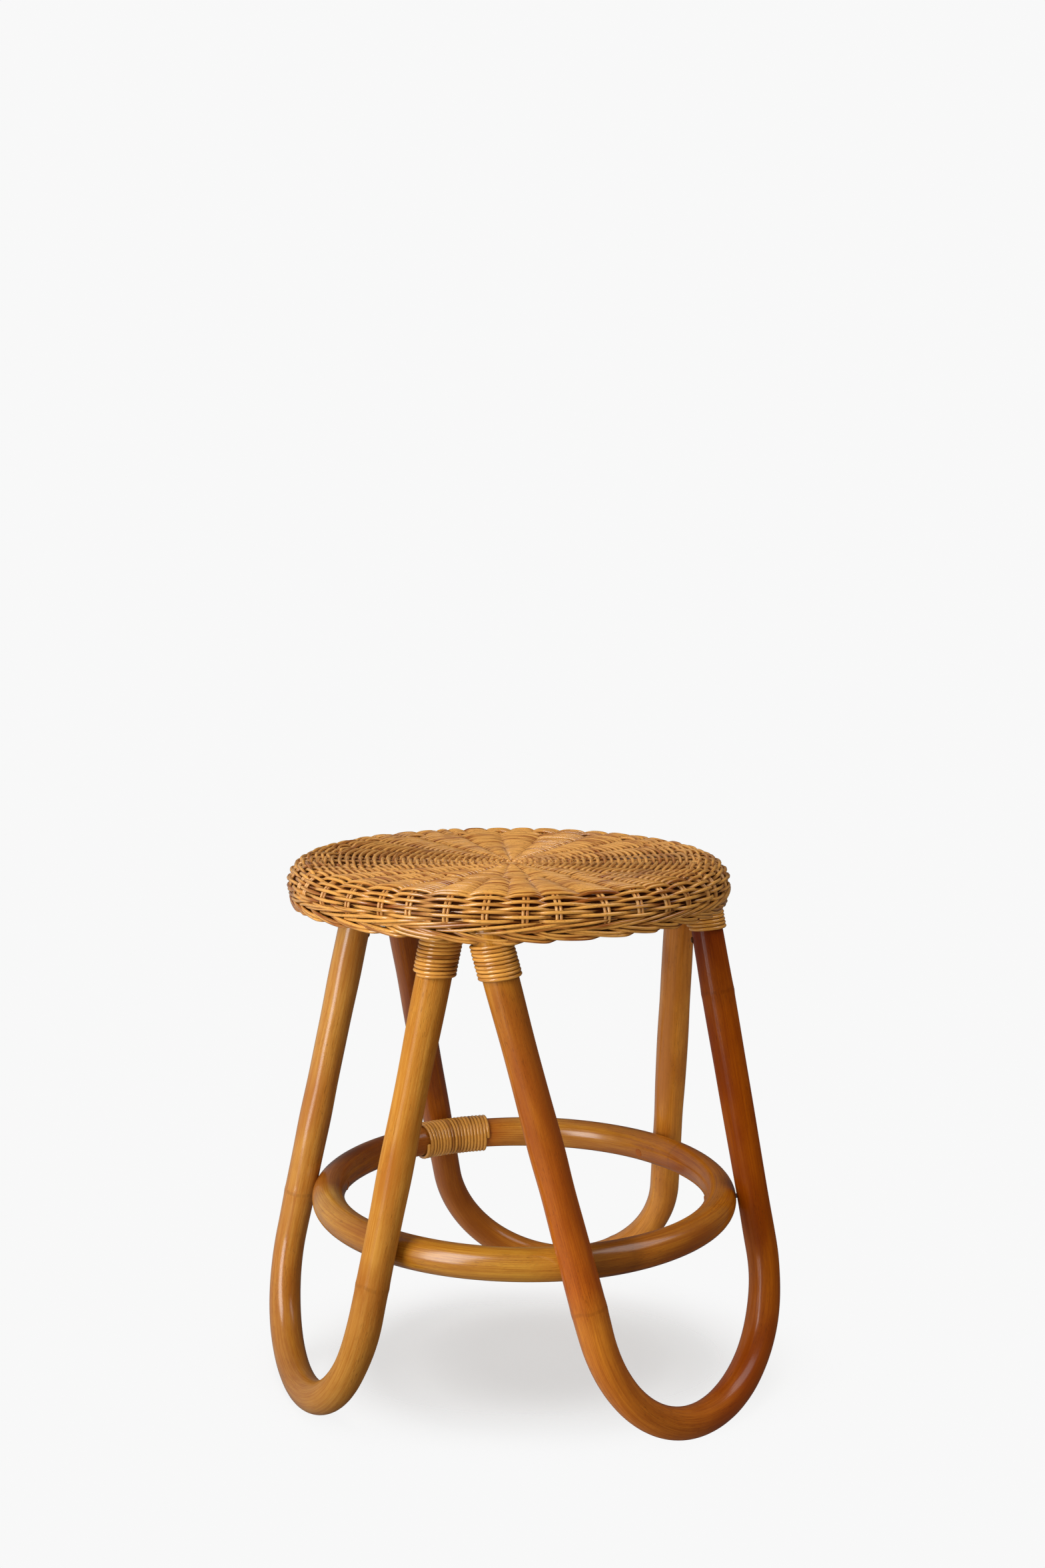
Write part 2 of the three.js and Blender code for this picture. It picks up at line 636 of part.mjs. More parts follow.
function buildBars() {
  const hoopSpace = hoopShape(clearance);
  for (const { name, halfLength, middle, along, nails } of barLines) {
    const half = along.clone().multiplyScalar(halfLength);
    const bar = rod(middle.clone().sub(half), middle.clone().add(half), barRadius, hoopPoleSides);
    const holes = nails.map((nail) => pinHoles(nail)[0]);
    addPiece(`${name}_cross_bar`, cut(bar, [hoopSpace, ...holes]), colours.hiddenPole);
    for (const nail of nails) addPin(`${name}_bar_${nail.end}_nail`, nail, colours.steel);
  }
}

// The angle at a stake's number, counted round the skirt. The stakes stand closer together at the back.
function stakeAngle(stake) {
  const even = (2 * Math.PI * stake) / stakeCount;
  return even + stakeCrowding * Math.cos(even);
}

// Where the new stakes start on each side of the seat: far out at the back, near the middle in front.
function splitAt(step) {
  const front = THREE.MathUtils.smoothstep(-Math.sin(stakeAngle(step / 2)), splitTurn.start, splitTurn.end);
  return flatRadius * THREE.MathUtils.lerp(splitShares.far, splitShares.near, front);
}

// How far the dished weave lies below its rim, at a distance from the middle.
function sagAt(radius) {
  return seatSag * (1 - (radius / flatRadius) ** 2) ** 2;
}

// The ribbed outside of the top: the flat hub, one rib to every second stake, then one to each, over the
// shoulder. The share of the ribs' depth rises evenly from each rib to the middle between it and the next.
function topOutside() {
  const hollowAt = (step, stakes) => 1 - Math.abs(1 - ((step / stakes) % 2));
  const dished = (radiusAt, stakes) => (step) => {
    const radius = radiusAt(step);
    return { radius, height: seatHeight - sagAt(radius), tilt: Math.PI / 2, hollow: hollowAt(step, stakes) };
  };
  const hubHeight = seatHeight - sagAt(hubRadius);
  const hub = () => ({ radius: hubRadius, height: hubHeight, tilt: Math.PI / 2, hollow: 0 });
  const newRibs = (step) => splitAt(step) + splitLength / 2;
  const shoulder = Array.from({ length: shoulderSteps + 1 }, (_, i) => {
    const tilt = (Math.PI / 2) * (1 - i / shoulderSteps);
    const radius = flatRadius + shoulderRadius * Math.cos(tilt);
    const height = shoulderFoot + shoulderRadius * Math.sin(tilt);
    return (step) => ({ radius, height, tilt, hollow: hollowAt(step, 1) });
  });
  const rings = [
    hub,
    dished((step) => splitAt(step) / 2, 2),
    dished((step) => splitAt(step) - splitLength / 2, 2),
    dished(newRibs, 1),
    dished((step) => (newRibs(step) + flatRadius) / 2, 1),
    ...shoulder,
  ];
  return ribbed(hubHeight, rings, shoulderFoot);
}

// The cover is a woven sheet: a dished top with a rounded shoulder, the skirt, and the border round its foot.
function buildCover() {
  const [quarter, level] = [Math.PI / 2, 0];
  // The corners of the inner facets stand outside their circle, so that the facets themselves lie on it.
  const innerRadius = (shoulderRadius - weaveThickness) / Math.cos(quarter / (2 * shoulderSteps));
  const innerArc = arc(flatRadius, shoulderFoot, innerRadius, level, quarter, shoulderSteps);
  const cleared = innerArc.map(([r, z]) => [r / Math.cos(Math.PI / roundSteps), z]);
  const dish = undersideShares.map((share) => [share * flatRadius, weaveUnderside - sagAt(share * flatRadius)]);
  const topInside = turned([[0, coverFoot], [cleared[0][0], coverFoot], ...cleared, ...dish], roundSteps);
  const top = cut(topOutside(), [topInside]);

  const skirtTop = shoulderFoot - clearance;
  const skirtFoot = borderTop + clearance;
  const borderRadius = seatRadius - borderDrawIn;
  const drawnIn = (z) => (borderDrawIn * (shoulderFoot - z)) / (shoulderFoot - coverFoot);
  const skirtRings = [skirtTop, skirtFoot].map(
    (height) => (step) => ({ radius: seatRadius - drawnIn(height), height, tilt: level, hollow: step % 2 }),
  );
  const skirtInside = [coverFoot, seatHeight].map((z) => [
    (seatRadius - weaveThickness - drawnIn(z)) / Math.cos(Math.PI / roundSteps),
    z,
  ]);
  const skirtCore = turned([[0, coverFoot], ...skirtInside, [0, seatHeight]], roundSteps);
  const skirt = cut(ribbed(skirtTop, skirtRings, skirtFoot), [skirtCore]);

  // The border's section is a flattened round, fuller outside than the weave above it.
  const borderSection = Array.from({ length: borderSides + 1 }, (_, i) => {
    const angle = (2 * Math.PI * (i + 1 / 2)) / borderSides;
    const flattened = 1 / Math.cos(Math.PI / borderSides);
    const middle = borderRadius + drawnIn(borderTop) / 2 - weaveThickness / 2;
    return [
      middle + (weaveThickness / 2) * flattened * Math.cos(angle),
      (coverFoot + borderTop) / 2 + (borderHeight / 2) * flattened * Math.sin(angle),
    ];
  });
  const border = turned(borderSection, roundSteps);

  // Where an arm lies against the weave, the weave is pressed thin.
  const coverShift = (geometry) => geometry.translate(seatAxis.x, seatAxis.y, 0);
  const armSpaces = arms.map((arm) =>
    rod(armAt(arm, coverFoot - overrun), armAt(arm, hoopHeight), poleRadius + clearance, poleSides),
  );
  addPiece("seat_top_weave", coverShift(top), colours.weave);
  addPiece("skirt_weave", cut(coverShift(skirt), armSpaces), colours.weave);
  addPiece("border_plait", cut(coverShift(border), armSpaces), colours.weave);
}

function buildLegWindings() {
  for (const arm of arms) {
    addWinding(`${arm.name}_winding`, legWindingPath(arm), legWindingPitch, legWindingTurns);
    addPin(`${arm.name}_tack`, tacks.get(arm.name), colours.tack);
  }
}

buildCover();
buildHoop();
buildBars();
buildLoops();
buildRing();
buildRingScrews();
buildLegWindings();

// The origin goes to the middle of the stool's footprint, on the floor.
stool.updateMatrixWorld(true);
const middle = new THREE.Box3().setFromObject(stool, true).getCenter(new THREE.Vector3());
stool.position.set(-middle.x, -middle.y, 0);

export default stool;
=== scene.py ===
"""Round stool of bent rattan poles with a woven cane seat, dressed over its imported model.

Sizes are in millimetres, and MILLIMETRE turns them into metres where a mesh, the camera or a lamp is
placed. Angles are in degrees in the tables of sizes and in radians elsewhere. Left and right of a leg
loop are as seen from outside it.
"""

import logging
from dataclasses import dataclass, field
from enum import Enum
from types import SimpleNamespace
from typing import Callable, Sequence

import bpy
import numpy as np
from mathutils import Matrix, Vector
from numpy.typing import NDArray


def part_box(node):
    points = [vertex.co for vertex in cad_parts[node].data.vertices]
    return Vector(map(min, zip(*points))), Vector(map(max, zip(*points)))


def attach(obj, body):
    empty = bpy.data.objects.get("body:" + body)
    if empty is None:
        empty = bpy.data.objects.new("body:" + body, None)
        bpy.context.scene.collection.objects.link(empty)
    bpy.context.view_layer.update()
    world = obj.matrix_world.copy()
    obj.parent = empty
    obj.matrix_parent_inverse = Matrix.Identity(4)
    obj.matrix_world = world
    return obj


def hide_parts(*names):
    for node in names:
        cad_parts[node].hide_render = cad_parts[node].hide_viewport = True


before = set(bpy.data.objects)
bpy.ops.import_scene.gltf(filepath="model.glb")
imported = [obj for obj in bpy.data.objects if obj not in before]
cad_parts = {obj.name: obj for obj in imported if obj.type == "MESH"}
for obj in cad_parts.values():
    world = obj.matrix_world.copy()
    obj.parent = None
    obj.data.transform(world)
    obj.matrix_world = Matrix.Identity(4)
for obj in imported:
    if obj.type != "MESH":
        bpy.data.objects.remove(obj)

Array = NDArray[np.float64]
Colour = tuple[float, float, float]
Wave = tuple[float, float, int]
Pattern = tuple[tuple[float, float, float], float, float]

MILLIMETRE = 0.001
FULL_TURN = 2 * np.pi
QUARTER_TURN = np.pi / 2
BODY = "root"

log = logging.getLogger("stool")


# Small helpers for arrays of points


def unit(vectors: Array) -> Array:
    """Scales each vector along the last axis to a length of one."""
    return vectors / np.linalg.norm(vectors, axis=-1, keepdims=True)


def smooth_step(value: Array) -> Array:
    """Rises from 0 to 1 as value goes from 0 to 1: 3 x squared less 2 x cubed."""
    x = np.clip(value, 0, 1)
    return x * x * (3 - 2 * x)


def bump(distance: Array, width: float) -> Array:
    """A bell of height 1 about distance 0: e to the minus (distance / width) squared."""
    return np.exp(-((distance / width) ** 2))


def slow_wander(places: Array, wavelength: float, seed: int) -> Array:
    """A smooth random curve between about -1 and 1.

    The formula is a sum of four sines whose wavelengths lie about the given one, each with a random phase.

    Args:
        places: Distance along the curve for each wanted value.
        wavelength: The length of a usual wave, in the unit of places.
        seed: Fixes the curve.

    Returns:
        One value for each place.
    """
    rng = np.random.default_rng(seed)
    waves = wavelength * rng.uniform(0.6, 1.7, 4)
    phases = rng.uniform(0, FULL_TURN, 4)
    return np.sin(FULL_TURN * np.asarray(places)[..., None] / waves + phases).sum(-1) / 2.4


def wander(places: Array, waves: Sequence[Wave]) -> Array:
    """Several slow wanders added up, each given as its size, wavelength and seed."""
    return sum(size * slow_wander(places, wavelength, seed) for size, wavelength, seed in waves)


def polar(radius: Array, angle: Array, height: Array) -> Array:
    """Points at a radius and an angle about the upright axis."""
    radius, angle, height = np.broadcast_arrays(radius, angle, height)
    return np.stack([radius * np.cos(angle), radius * np.sin(angle), height], -1)


def even_places(length: float, step: float) -> Array:
    """Distances from 0 to length, about one step apart."""
    return np.linspace(0, length, max(3, int(round(length / step)) + 1))


def circle(count: int) -> Array:
    """Points spread evenly round a circle of radius 1."""
    angle = FULL_TURN * np.arange(count) / count
    return np.stack([np.cos(angle), np.sin(angle)], -1)


def run_along(paths: Array) -> Array:
    """How far each station of a path lies from its start. Stations are the last axis but one."""
    steps = np.linalg.norm(np.diff(paths, axis=-2), axis=-1)
    return np.concatenate([np.zeros(paths.shape[:-2] + (1,)), np.cumsum(steps, -1)], -1)


def section_axes(tangent: Array, reference: Array) -> tuple[Array, Array]:
    """The reference less its share along the path, and the path's direction crossed with that."""
    first = unit(reference - tangent * (reference * tangent).sum(-1, keepdims=True))
    return first, np.cross(tangent, first)


# Meshes


@dataclass
class Tubes:
    """Closed round tubes, or one tube, as a grid of points with their own coordinates.

    Attributes:
        points: Tube, station, side and x, y, z, in millimetres.
        places: The straightened place of each point: across, across and along the tube.
        light: Painted light and shade at each point, from about 0, painted shade in a hollow, to 1, painted
            light on a crest.
    """

    points: Array
    places: Array
    light: Array

    def joined(self, other: "Tubes") -> "Tubes":
        """Both sets of tubes, which have the same number of stations and sides."""
        pairs = ((self.points, other.points), (self.places, other.places), (self.light, other.light))
        return Tubes(*(np.concatenate(pair) for pair in pairs))


def sweep(paths: Array, references: Array, radius: Array | float, sides: int, starts: Array | float = 0.0,
          end_rounding: float = 0.6, light: Array | float = 0.5, outer_light: float = 0.0) -> Tubes:
    """Carries a circle along each path.

    A section's first axis is the reference less its share along the path, and its second is the path's
    direction crossed with the first. A point is centre + r (cos a first + sin a second). Three more
    sections at each end draw in to a point, so that the tube is closed with a rounded end.

    Args:
        paths: Tube, station and x, y, z, or one tube's stations and x, y, z.
        references: A direction for each station, or one that holds for all.
        radius: The tube's radius, alone or for each tube, station and side.
        sides: Points round a section.
        starts: The along coordinate of each tube's first station.
        end_rounding: How far the end's sections reach past the path's end, in radii.
        light: Its painted light and shade, alone or for each tube and station.
        outer_light: How much more painted light its side towards the reference gets.

    Returns:
        The tubes' points, straightened places and painted light and shade.
    """
    paths = paths if paths.ndim == 3 else paths[None]
    tangent = unit(np.gradient(paths, axis=1))
    first, second = section_axes(tangent, np.broadcast_to(references, paths.shape))
    run = run_along(paths) + np.broadcast_to(np.asarray(starts, float), paths.shape[:1])[:, None]
    radius = np.broadcast_to(np.asarray(radius, float), paths.shape[:2] + (sides,))
    across = circle(sides)
    pale = np.broadcast_to(light, paths.shape[:2])[..., None] + outer_light * across[:, 0]

    def sections(station: slice, shrink: float, reach: float) -> tuple[Array, Array, Array]:
        """Sections at some stations, drawn in by shrink and moved along the tube by reach."""
        r = radius[:, station] * shrink
        centre = paths[:, station] + tangent[:, station] * reach
        points = centre[:, :, None] + r[..., None] * (
            across[:, 0, None] * first[:, station, None] + across[:, 1, None] * second[:, station, None])
        along = np.broadcast_to(run[:, station, None] + reach, r.shape)
        return points, np.stack([r * across[:, 0], r * across[:, 1], along], -1), pale[:, station]

    size = float(radius.mean()) * end_rounding
    steps = [(0.02, 1.0), (0.5, 0.87), (0.87, 0.5)]
    parts = [sections(slice(0, 1), shrink, -size * reach) for shrink, reach in steps]
    parts.append(sections(slice(None), 1.0, 0.0))
    parts += [sections(slice(-1, None), shrink, size * reach) for shrink, reach in reversed(steps)]
    return Tubes(*(np.concatenate(kind, 1) for kind in zip(*parts)))


def ring_sweep(centres: Array, outward: Array, radius: Array, sides: int) -> Tubes:
    """Carries a circle round a closed path, whose last section joins its first.

    Args:
        centres: Station and x, y, z of the closed path, its first station not repeated.
        outward: The direction of each section's first axis.
        radius: The radius for each station and side.
        sides: Points round a section.

    Returns:
        One tube whose stations close on themselves.
    """
    first, second = section_axes(unit(np.roll(centres, -1, 0) - np.roll(centres, 1, 0)), outward)
    across = circle(sides)
    points = centres[:, None] + radius[..., None] * (
        across[:, 0, None] * first[:, None] + across[:, 1, None] * second[:, None])
    along = np.broadcast_to(run_along(centres)[:, None], radius.shape)
    places = np.stack([radius * across[:, 0], radius * across[:, 1], along], -1)
    return Tubes(points[None], places[None], np.full((1, *radius.shape), 0.5))


PLACE = "straight_place"
# The mesh attribute of painted light and shade: low in hollows, high on crests.
LIGHT = "paleness"


def tube_object(name: str, tubes: Tubes, closed: bool = False) -> bpy.types.Object:
    """Makes a mesh object of tubes, with their straightened places, in metres, and painted light and shade as
    attributes.

    Args:
        name: The object's name.
        tubes: The tubes' points and places, in millimetres.
        closed: The stations close on themselves and need no ends.

    Returns:
        The object, linked to the scene.
    """
    count, stations, sides = tubes.points.shape[:3]
    index = np.arange(count * stations * sides).reshape(count, stations, sides)
    here = index if closed else index[:, :-1]
    there = np.roll(index, -1, 1) if closed else index[:, 1:]
    quads = np.stack([here, np.roll(here, -1, 2), np.roll(there, -1, 2), there], -1).reshape(-1, 4)
    faces = quads.tolist()
    if not closed:
        faces += index[:, 0, ::-1].tolist() + index[:, -1].tolist()
    mesh = bpy.data.meshes.new(name)
    mesh.from_pydata((tubes.points.reshape(-1, 3) * MILLIMETRE).tolist(), [], faces)
    mesh.polygons.foreach_set("use_smooth", np.ones(len(mesh.polygons), bool))
    place = mesh.attributes.new(PLACE, "FLOAT_VECTOR", "POINT")
    place.data.foreach_set("vector", (tubes.places * MILLIMETRE).astype(np.float32).ravel())
    pale = mesh.attributes.new(LIGHT, "FLOAT", "POINT")
    pale.data.foreach_set("value", tubes.light.astype(np.float32).ravel())
    mesh.update()
    piece = bpy.data.objects.new(name, mesh)
    bpy.context.scene.collection.objects.link(piece)
    return piece


# Materials


class Socket:
    """An output socket that can be used in sums. Each operator adds a Math node."""

    def __init__(self, nodes: "Nodes", source: bpy.types.NodeSocket) -> None:
        """Wraps one output socket of a node tree."""
        self.nodes = nodes
        self.source = source

    def _math(self, operation: str, first: "Operand", second: "Operand") -> "Socket":
        """The result of one Math node."""
        return self.nodes.add("ShaderNodeMath", {"operation": operation}, {0: first, 1: second})

    def __add__(self, other: "Operand") -> "Socket":
        """self + other."""
        return self._math("ADD", self, other)

    __radd__ = __add__

    def __sub__(self, other: "Operand") -> "Socket":
        """self - other."""
        return self._math("SUBTRACT", self, other)

    def __rsub__(self, other: "Operand") -> "Socket":
        """other - self."""
        return self._math("SUBTRACT", other, self)

    def __mul__(self, other: "Operand") -> "Socket":
        """self times other."""
        return self._math("MULTIPLY", self, other)

    __rmul__ = __mul__

    def range(self, low: float, high: float, to_low: float = 0.0, to_high: float = 1.0) -> "Socket":
        """Maps low..high to to_low..to_high with soft ends, and clamps outside them."""
        return self.nodes.add("ShaderNodeMapRange", {"interpolation_type": "SMOOTHSTEP"},
                              {"Value": self, "From Min": low, "From Max": high,
                               "To Min": to_low, "To Max": to_high})


Operand = Socket | float | Sequence[float]


class Nodes:
    """A material's node tree and the one method that adds nodes to it."""

    def __init__(self, name: str, tree: bpy.types.NodeTree | None = None) -> None:
        """Makes an empty material, or empties the tree that is given."""
        if tree is None:
            self.material = bpy.data.materials.new(name)
            self.material.use_nodes = True
            tree = self.material.node_tree
        self.tree = tree
        self.tree.nodes.clear()

    def add(self, kind: str, settings: dict, inputs: dict, output: str | int = 0) -> Socket:
        """Adds one node.

        Args:
            kind: The node's type.
            settings: Its properties, set before its sockets are filled. A ramp's stops go under "stops".
            inputs: A value or a Socket for each input, by name or number.
            output: The output that is returned.

        Returns:
            The wanted output.
        """
        node = self.tree.nodes.new(kind)
        for key, value in settings.items():
            if key == "stops":
                ramp = node.color_ramp.elements
                while len(ramp) < len(value):
                    ramp.new(0.5)
                for element, (position, colour) in zip(ramp, value):
                    element.position, element.color = position, (*colour, 1)
            else:
                setattr(node, key, value)
        for key, value in inputs.items():
            if isinstance(value, Socket):
                self.tree.links.new(value.source, node.inputs[key])
            else:
                node.inputs[key].default_value = value
        return Socket(self, node.outputs[output])

    def ramp(self, share: Socket, stops: Sequence[tuple[float, Colour]]) -> Socket:
        """A colour that goes evenly from stop to stop as share grows."""
        return self.add("ShaderNodeValToRGB", {"stops": stops}, {0: share})

    def place(self) -> Socket:
        """The straightened place of a tube: across, across and along, in metres."""
        return self.add("ShaderNodeAttribute", {"attribute_name": PLACE}, {}, "Vector")

    def paleness(self) -> Socket:
        """The painted light and shade there, from about 0, painted shade in a hollow, to 1, painted light on
        a crest.
        """
        return self.add("ShaderNodeAttribute", {"attribute_name": LIGHT}, {}, "Fac")

    def ray(self, kind: str) -> Socket:
        """1 for a ray of the kind, such as Camera or Glossy, and 0 for any other."""
        return self.add("ShaderNodeLightPath", {}, {}, f"Is {kind} Ray")

    def seen(self) -> Socket:
        """1 for a ray that the camera sends, also through glass, and 0 for light between surfaces."""
        return self.add("ShaderNodeMath", {"operation": "MAXIMUM"},
                        {0: self.ray("Camera"), 1: self.ray("Transmission")})

    def object_place(self) -> Socket:
        """Object coordinates, in metres."""
        return self.add("ShaderNodeTexCoord", {}, {}, "Object")

    def stretched(self, place: Socket, scale: Sequence[float], shift: Sequence[float] = (0, 0, 0)) -> Socket:
        """place times scale, plus shift."""
        return self.add("ShaderNodeMapping", {}, {"Vector": place, "Scale": scale, "Location": shift})

    def noise(self, place: Socket, scale: Sequence[float], detail: float, roughness: float,
              shift: Sequence[float] = (0, 0, 0)) -> Socket:
        """Smooth noise between 0 and 1, at place times scale, plus shift."""
        return self.add("ShaderNodeTexNoise", {},
                        {"Vector": self.stretched(place, scale, shift), "Scale": 1.0, "Detail": detail,
                         "Roughness": roughness}, "Fac")

    def patterns(self, place: Socket, recipes: dict[str, Pattern], shift: Sequence[float]) -> SimpleNamespace:
        """One noise for each recipe of scale, detail and roughness, under the recipe's name."""
        noises = {name: self.noise(place, *recipe, shift) for name, recipe in recipes.items()}
        return SimpleNamespace(**noises)

    def part(self, place: Socket, axis: str) -> Socket:
        """One coordinate of a place."""
        return self.add("ShaderNodeSeparateXYZ", {}, {0: place}, axis)

    def mix(self, factor: Operand, first: Operand, second: Operand, blend: str = "MIX") -> Socket:
        """first where factor is 0 and second where it is 1. Both are colours."""
        return self.add("ShaderNodeMix", {"data_type": "RGBA", "blend_type": blend},
                        {0: factor, 6: as_rgba(first), 7: as_rgba(second)}, 2)

    def bump(self, height: Socket, distance: float, strength: float = 1.0) -> Socket:
        """A normal from a height, whose full range is distance metres."""
        return self.add("ShaderNodeBump", {}, {"Strength": strength, "Distance": distance, "Height": height})

    def finish(self, sockets: dict) -> bpy.types.Material:
        """Ends the tree in a Principled BSDF with the given sockets, and returns the material."""
        return self.end(self.add("ShaderNodeBsdfPrincipled", {}, sockets))

    def end(self, shader: Socket) -> bpy.types.Material:
        """Links a shader to the material's output, and returns the material."""
        node = self.tree.nodes.new("ShaderNodeOutputMaterial")
        self.tree.links.new(shader.source, node.inputs["Surface"])
        return self.material


def as_rgba(colour: Operand) -> Operand:
    """A plain colour with its alpha added. A Socket is left as it is."""
    return colour if isinstance(colour, Socket) else (*colour, 1)


def srgb(red: int, green: int, blue: int) -> Colour:
    """A colour given as 0 to 255 on a screen, as the linear colour that a shader takes."""
    values = np.array([red, green, blue]) / 255
    linear = np.where(values <= 0.04045, values / 12.92, ((values + 0.055) / 1.055) ** 2.4)
    return tuple(float(v) for v in linear)


# The wood and the cane themselves shine very little, and warmly. The lacquer's coat does the rest.
UNDERCOAT = {"Specular IOR Level": 0.04, "Specular Tint": (1, 0.72, 0.34, 1)}


# Noises of a pole and of a cane: how fine each is across, across and along it, its detail and roughness.
POLE_PATTERNS: dict[str, Pattern] = {
    "grain": ((1050, 1050, 15), 4.0, 0.65),
    "streak": ((300, 300, 8), 3.0, 0.6),
    "cloud": ((26, 26, 9), 2.0, 0.5),
    "mottle": ((190, 190, 60), 3.0, 0.6),
    "fleck": ((1900, 1900, 170), 2.0, 0.5),
    "fleck_area": ((60, 60, 16), 1.0, 0.5),
    "fibre": ((2300, 2300, 24), 3.0, 0.6),
    "swell": ((60, 60, 16), 2.0, 0.5),
    "ripple": ((600, 600, 330), 2.0, 0.5),
    "wobble": ((70, 70, 2), 1.0, 0.5),
}
CANE_PATTERNS: dict[str, Pattern] = {
    "grain": ((1150, 1150, 60), 3.0, 0.65),
    "strand": ((520, 520, 22), 2.0, 0.6),
    "length": ((60, 60, 14), 3.0, 0.6),
    "fleck": ((1300, 1300, 500), 1.0, 0.4),
    "knobble": ((420, 420, 150), 2.0, 0.5),
}


@dataclass(frozen=True)
class PoleFinish:
    """Lacquered rattan pole: fine grain, dark flecks, joints between its lengths, soft gloss, painted light
    and shade along it.

    Attributes:
        name: The material's name.
        light, deep: The colours that the grain runs between.
        stain: A redder or darker colour that comes and goes along the pole.
        stain_share: How much of the pole the stain takes.
        joints: Places of the pole's joints, in millimetres along it.
        tone_and_shade: Colours that the pole's are multiplied by, at shares of its length: its own tone, with
            painted light and shade.
        shine: How much of the gloss is left, at shares of its length.
        length: The pole's length in millimetres.
        gloss: Coat weight.
        roughness: Mean roughness of the wood under the coat.
        seed: Moves the pattern.
    """

    name: str
    light: Colour
    deep: Colour
    stain: Colour
    stain_share: float = 0.4
    joints: tuple[float, ...] = ()
    tone_and_shade: tuple[tuple[float, Colour], ...] = ((0, (1, 1, 1)), (1, (1, 1, 1)))
    shine: tuple[tuple[float, float], ...] = ((0, 1), (1, 1))
    length: float = 1000.0
    gloss: float = 1.0
    roughness: float = 0.4
    seed: float = 0.0

    def build(self) -> bpy.types.Material:
        """Makes the material."""
        n = Nodes(self.name)
        place = n.place()
        p = n.patterns(place, POLE_PATTERNS, (self.seed, self.seed * 1.7, self.seed * 0.6))
        flecks = p.fleck.range(0.6, 0.7) * p.fleck_area.range(0.38, 0.6)
        tone = (p.grain - 0.5) * 1.2 + (p.streak - 0.5) * 0.8 + (p.mottle - 0.5) * 0.5
        tone = tone + (p.fibre - 0.5) * 1.1 + 0.5
        colour = n.mix(tone.range(0.15, 0.85), self.deep, self.light)
        more = 0.4 * self.stain_share
        colour = n.mix(p.cloud.range(0.62 - more, 0.86 - more) * 0.75, colour, self.stain)
        dark = tuple(0.28 * c for c in self.stain)
        colour = n.mix(flecks * 0.42, colour, dark)
        height = (p.grain - 0.5) * 0.5 + (p.streak - 0.5) * 0.5 - flecks * 0.5
        height = height + (p.swell - 0.5) * 4.0 + (p.ripple - 0.5) * 1.2
        along = n.part(place, "Z")
        share = along * (1 / (self.length * MILLIMETRE))
        # Painted light and shade: this ramp darkens the pole where it lies in shade and lightens it where
        # light falls, besides its own tone.
        colour = n.mix(1.0, colour, n.ramp(share, self.tone_and_shade), "MULTIPLY")
        wobble = (p.wobble - 0.5) * 0.006
        for joint in self.joints:
            from_joint = along + wobble - joint * MILLIMETRE
            away = n.add("ShaderNodeMath", {"operation": "ABSOLUTE"}, {0: from_joint})
            ring = (1 - away.range(0.0006, 0.0022)) * p.streak.range(0.3, 0.6)
            halo = 1 - away.range(0.002, 0.016)
            colour = n.mix(halo * 0.12, colour, self.stain)
            colour = n.mix(ring * 0.22, colour, dark)
            height = height - ring * 0.5
        rough = self.roughness + (p.mottle - 0.5) * 0.2 + flecks * 0.15
        coat = n.ramp(share, [(at, (much,) * 3) for at, much in self.shine]) * self.gloss
        return n.finish({"Base Color": colour, "Roughness": rough, "Normal": n.bump(height, 0.00022, 0.8),
                         "Coat Weight": coat, "Coat Roughness": 0.2, "Coat IOR": 1.55, **UNDERCOAT})


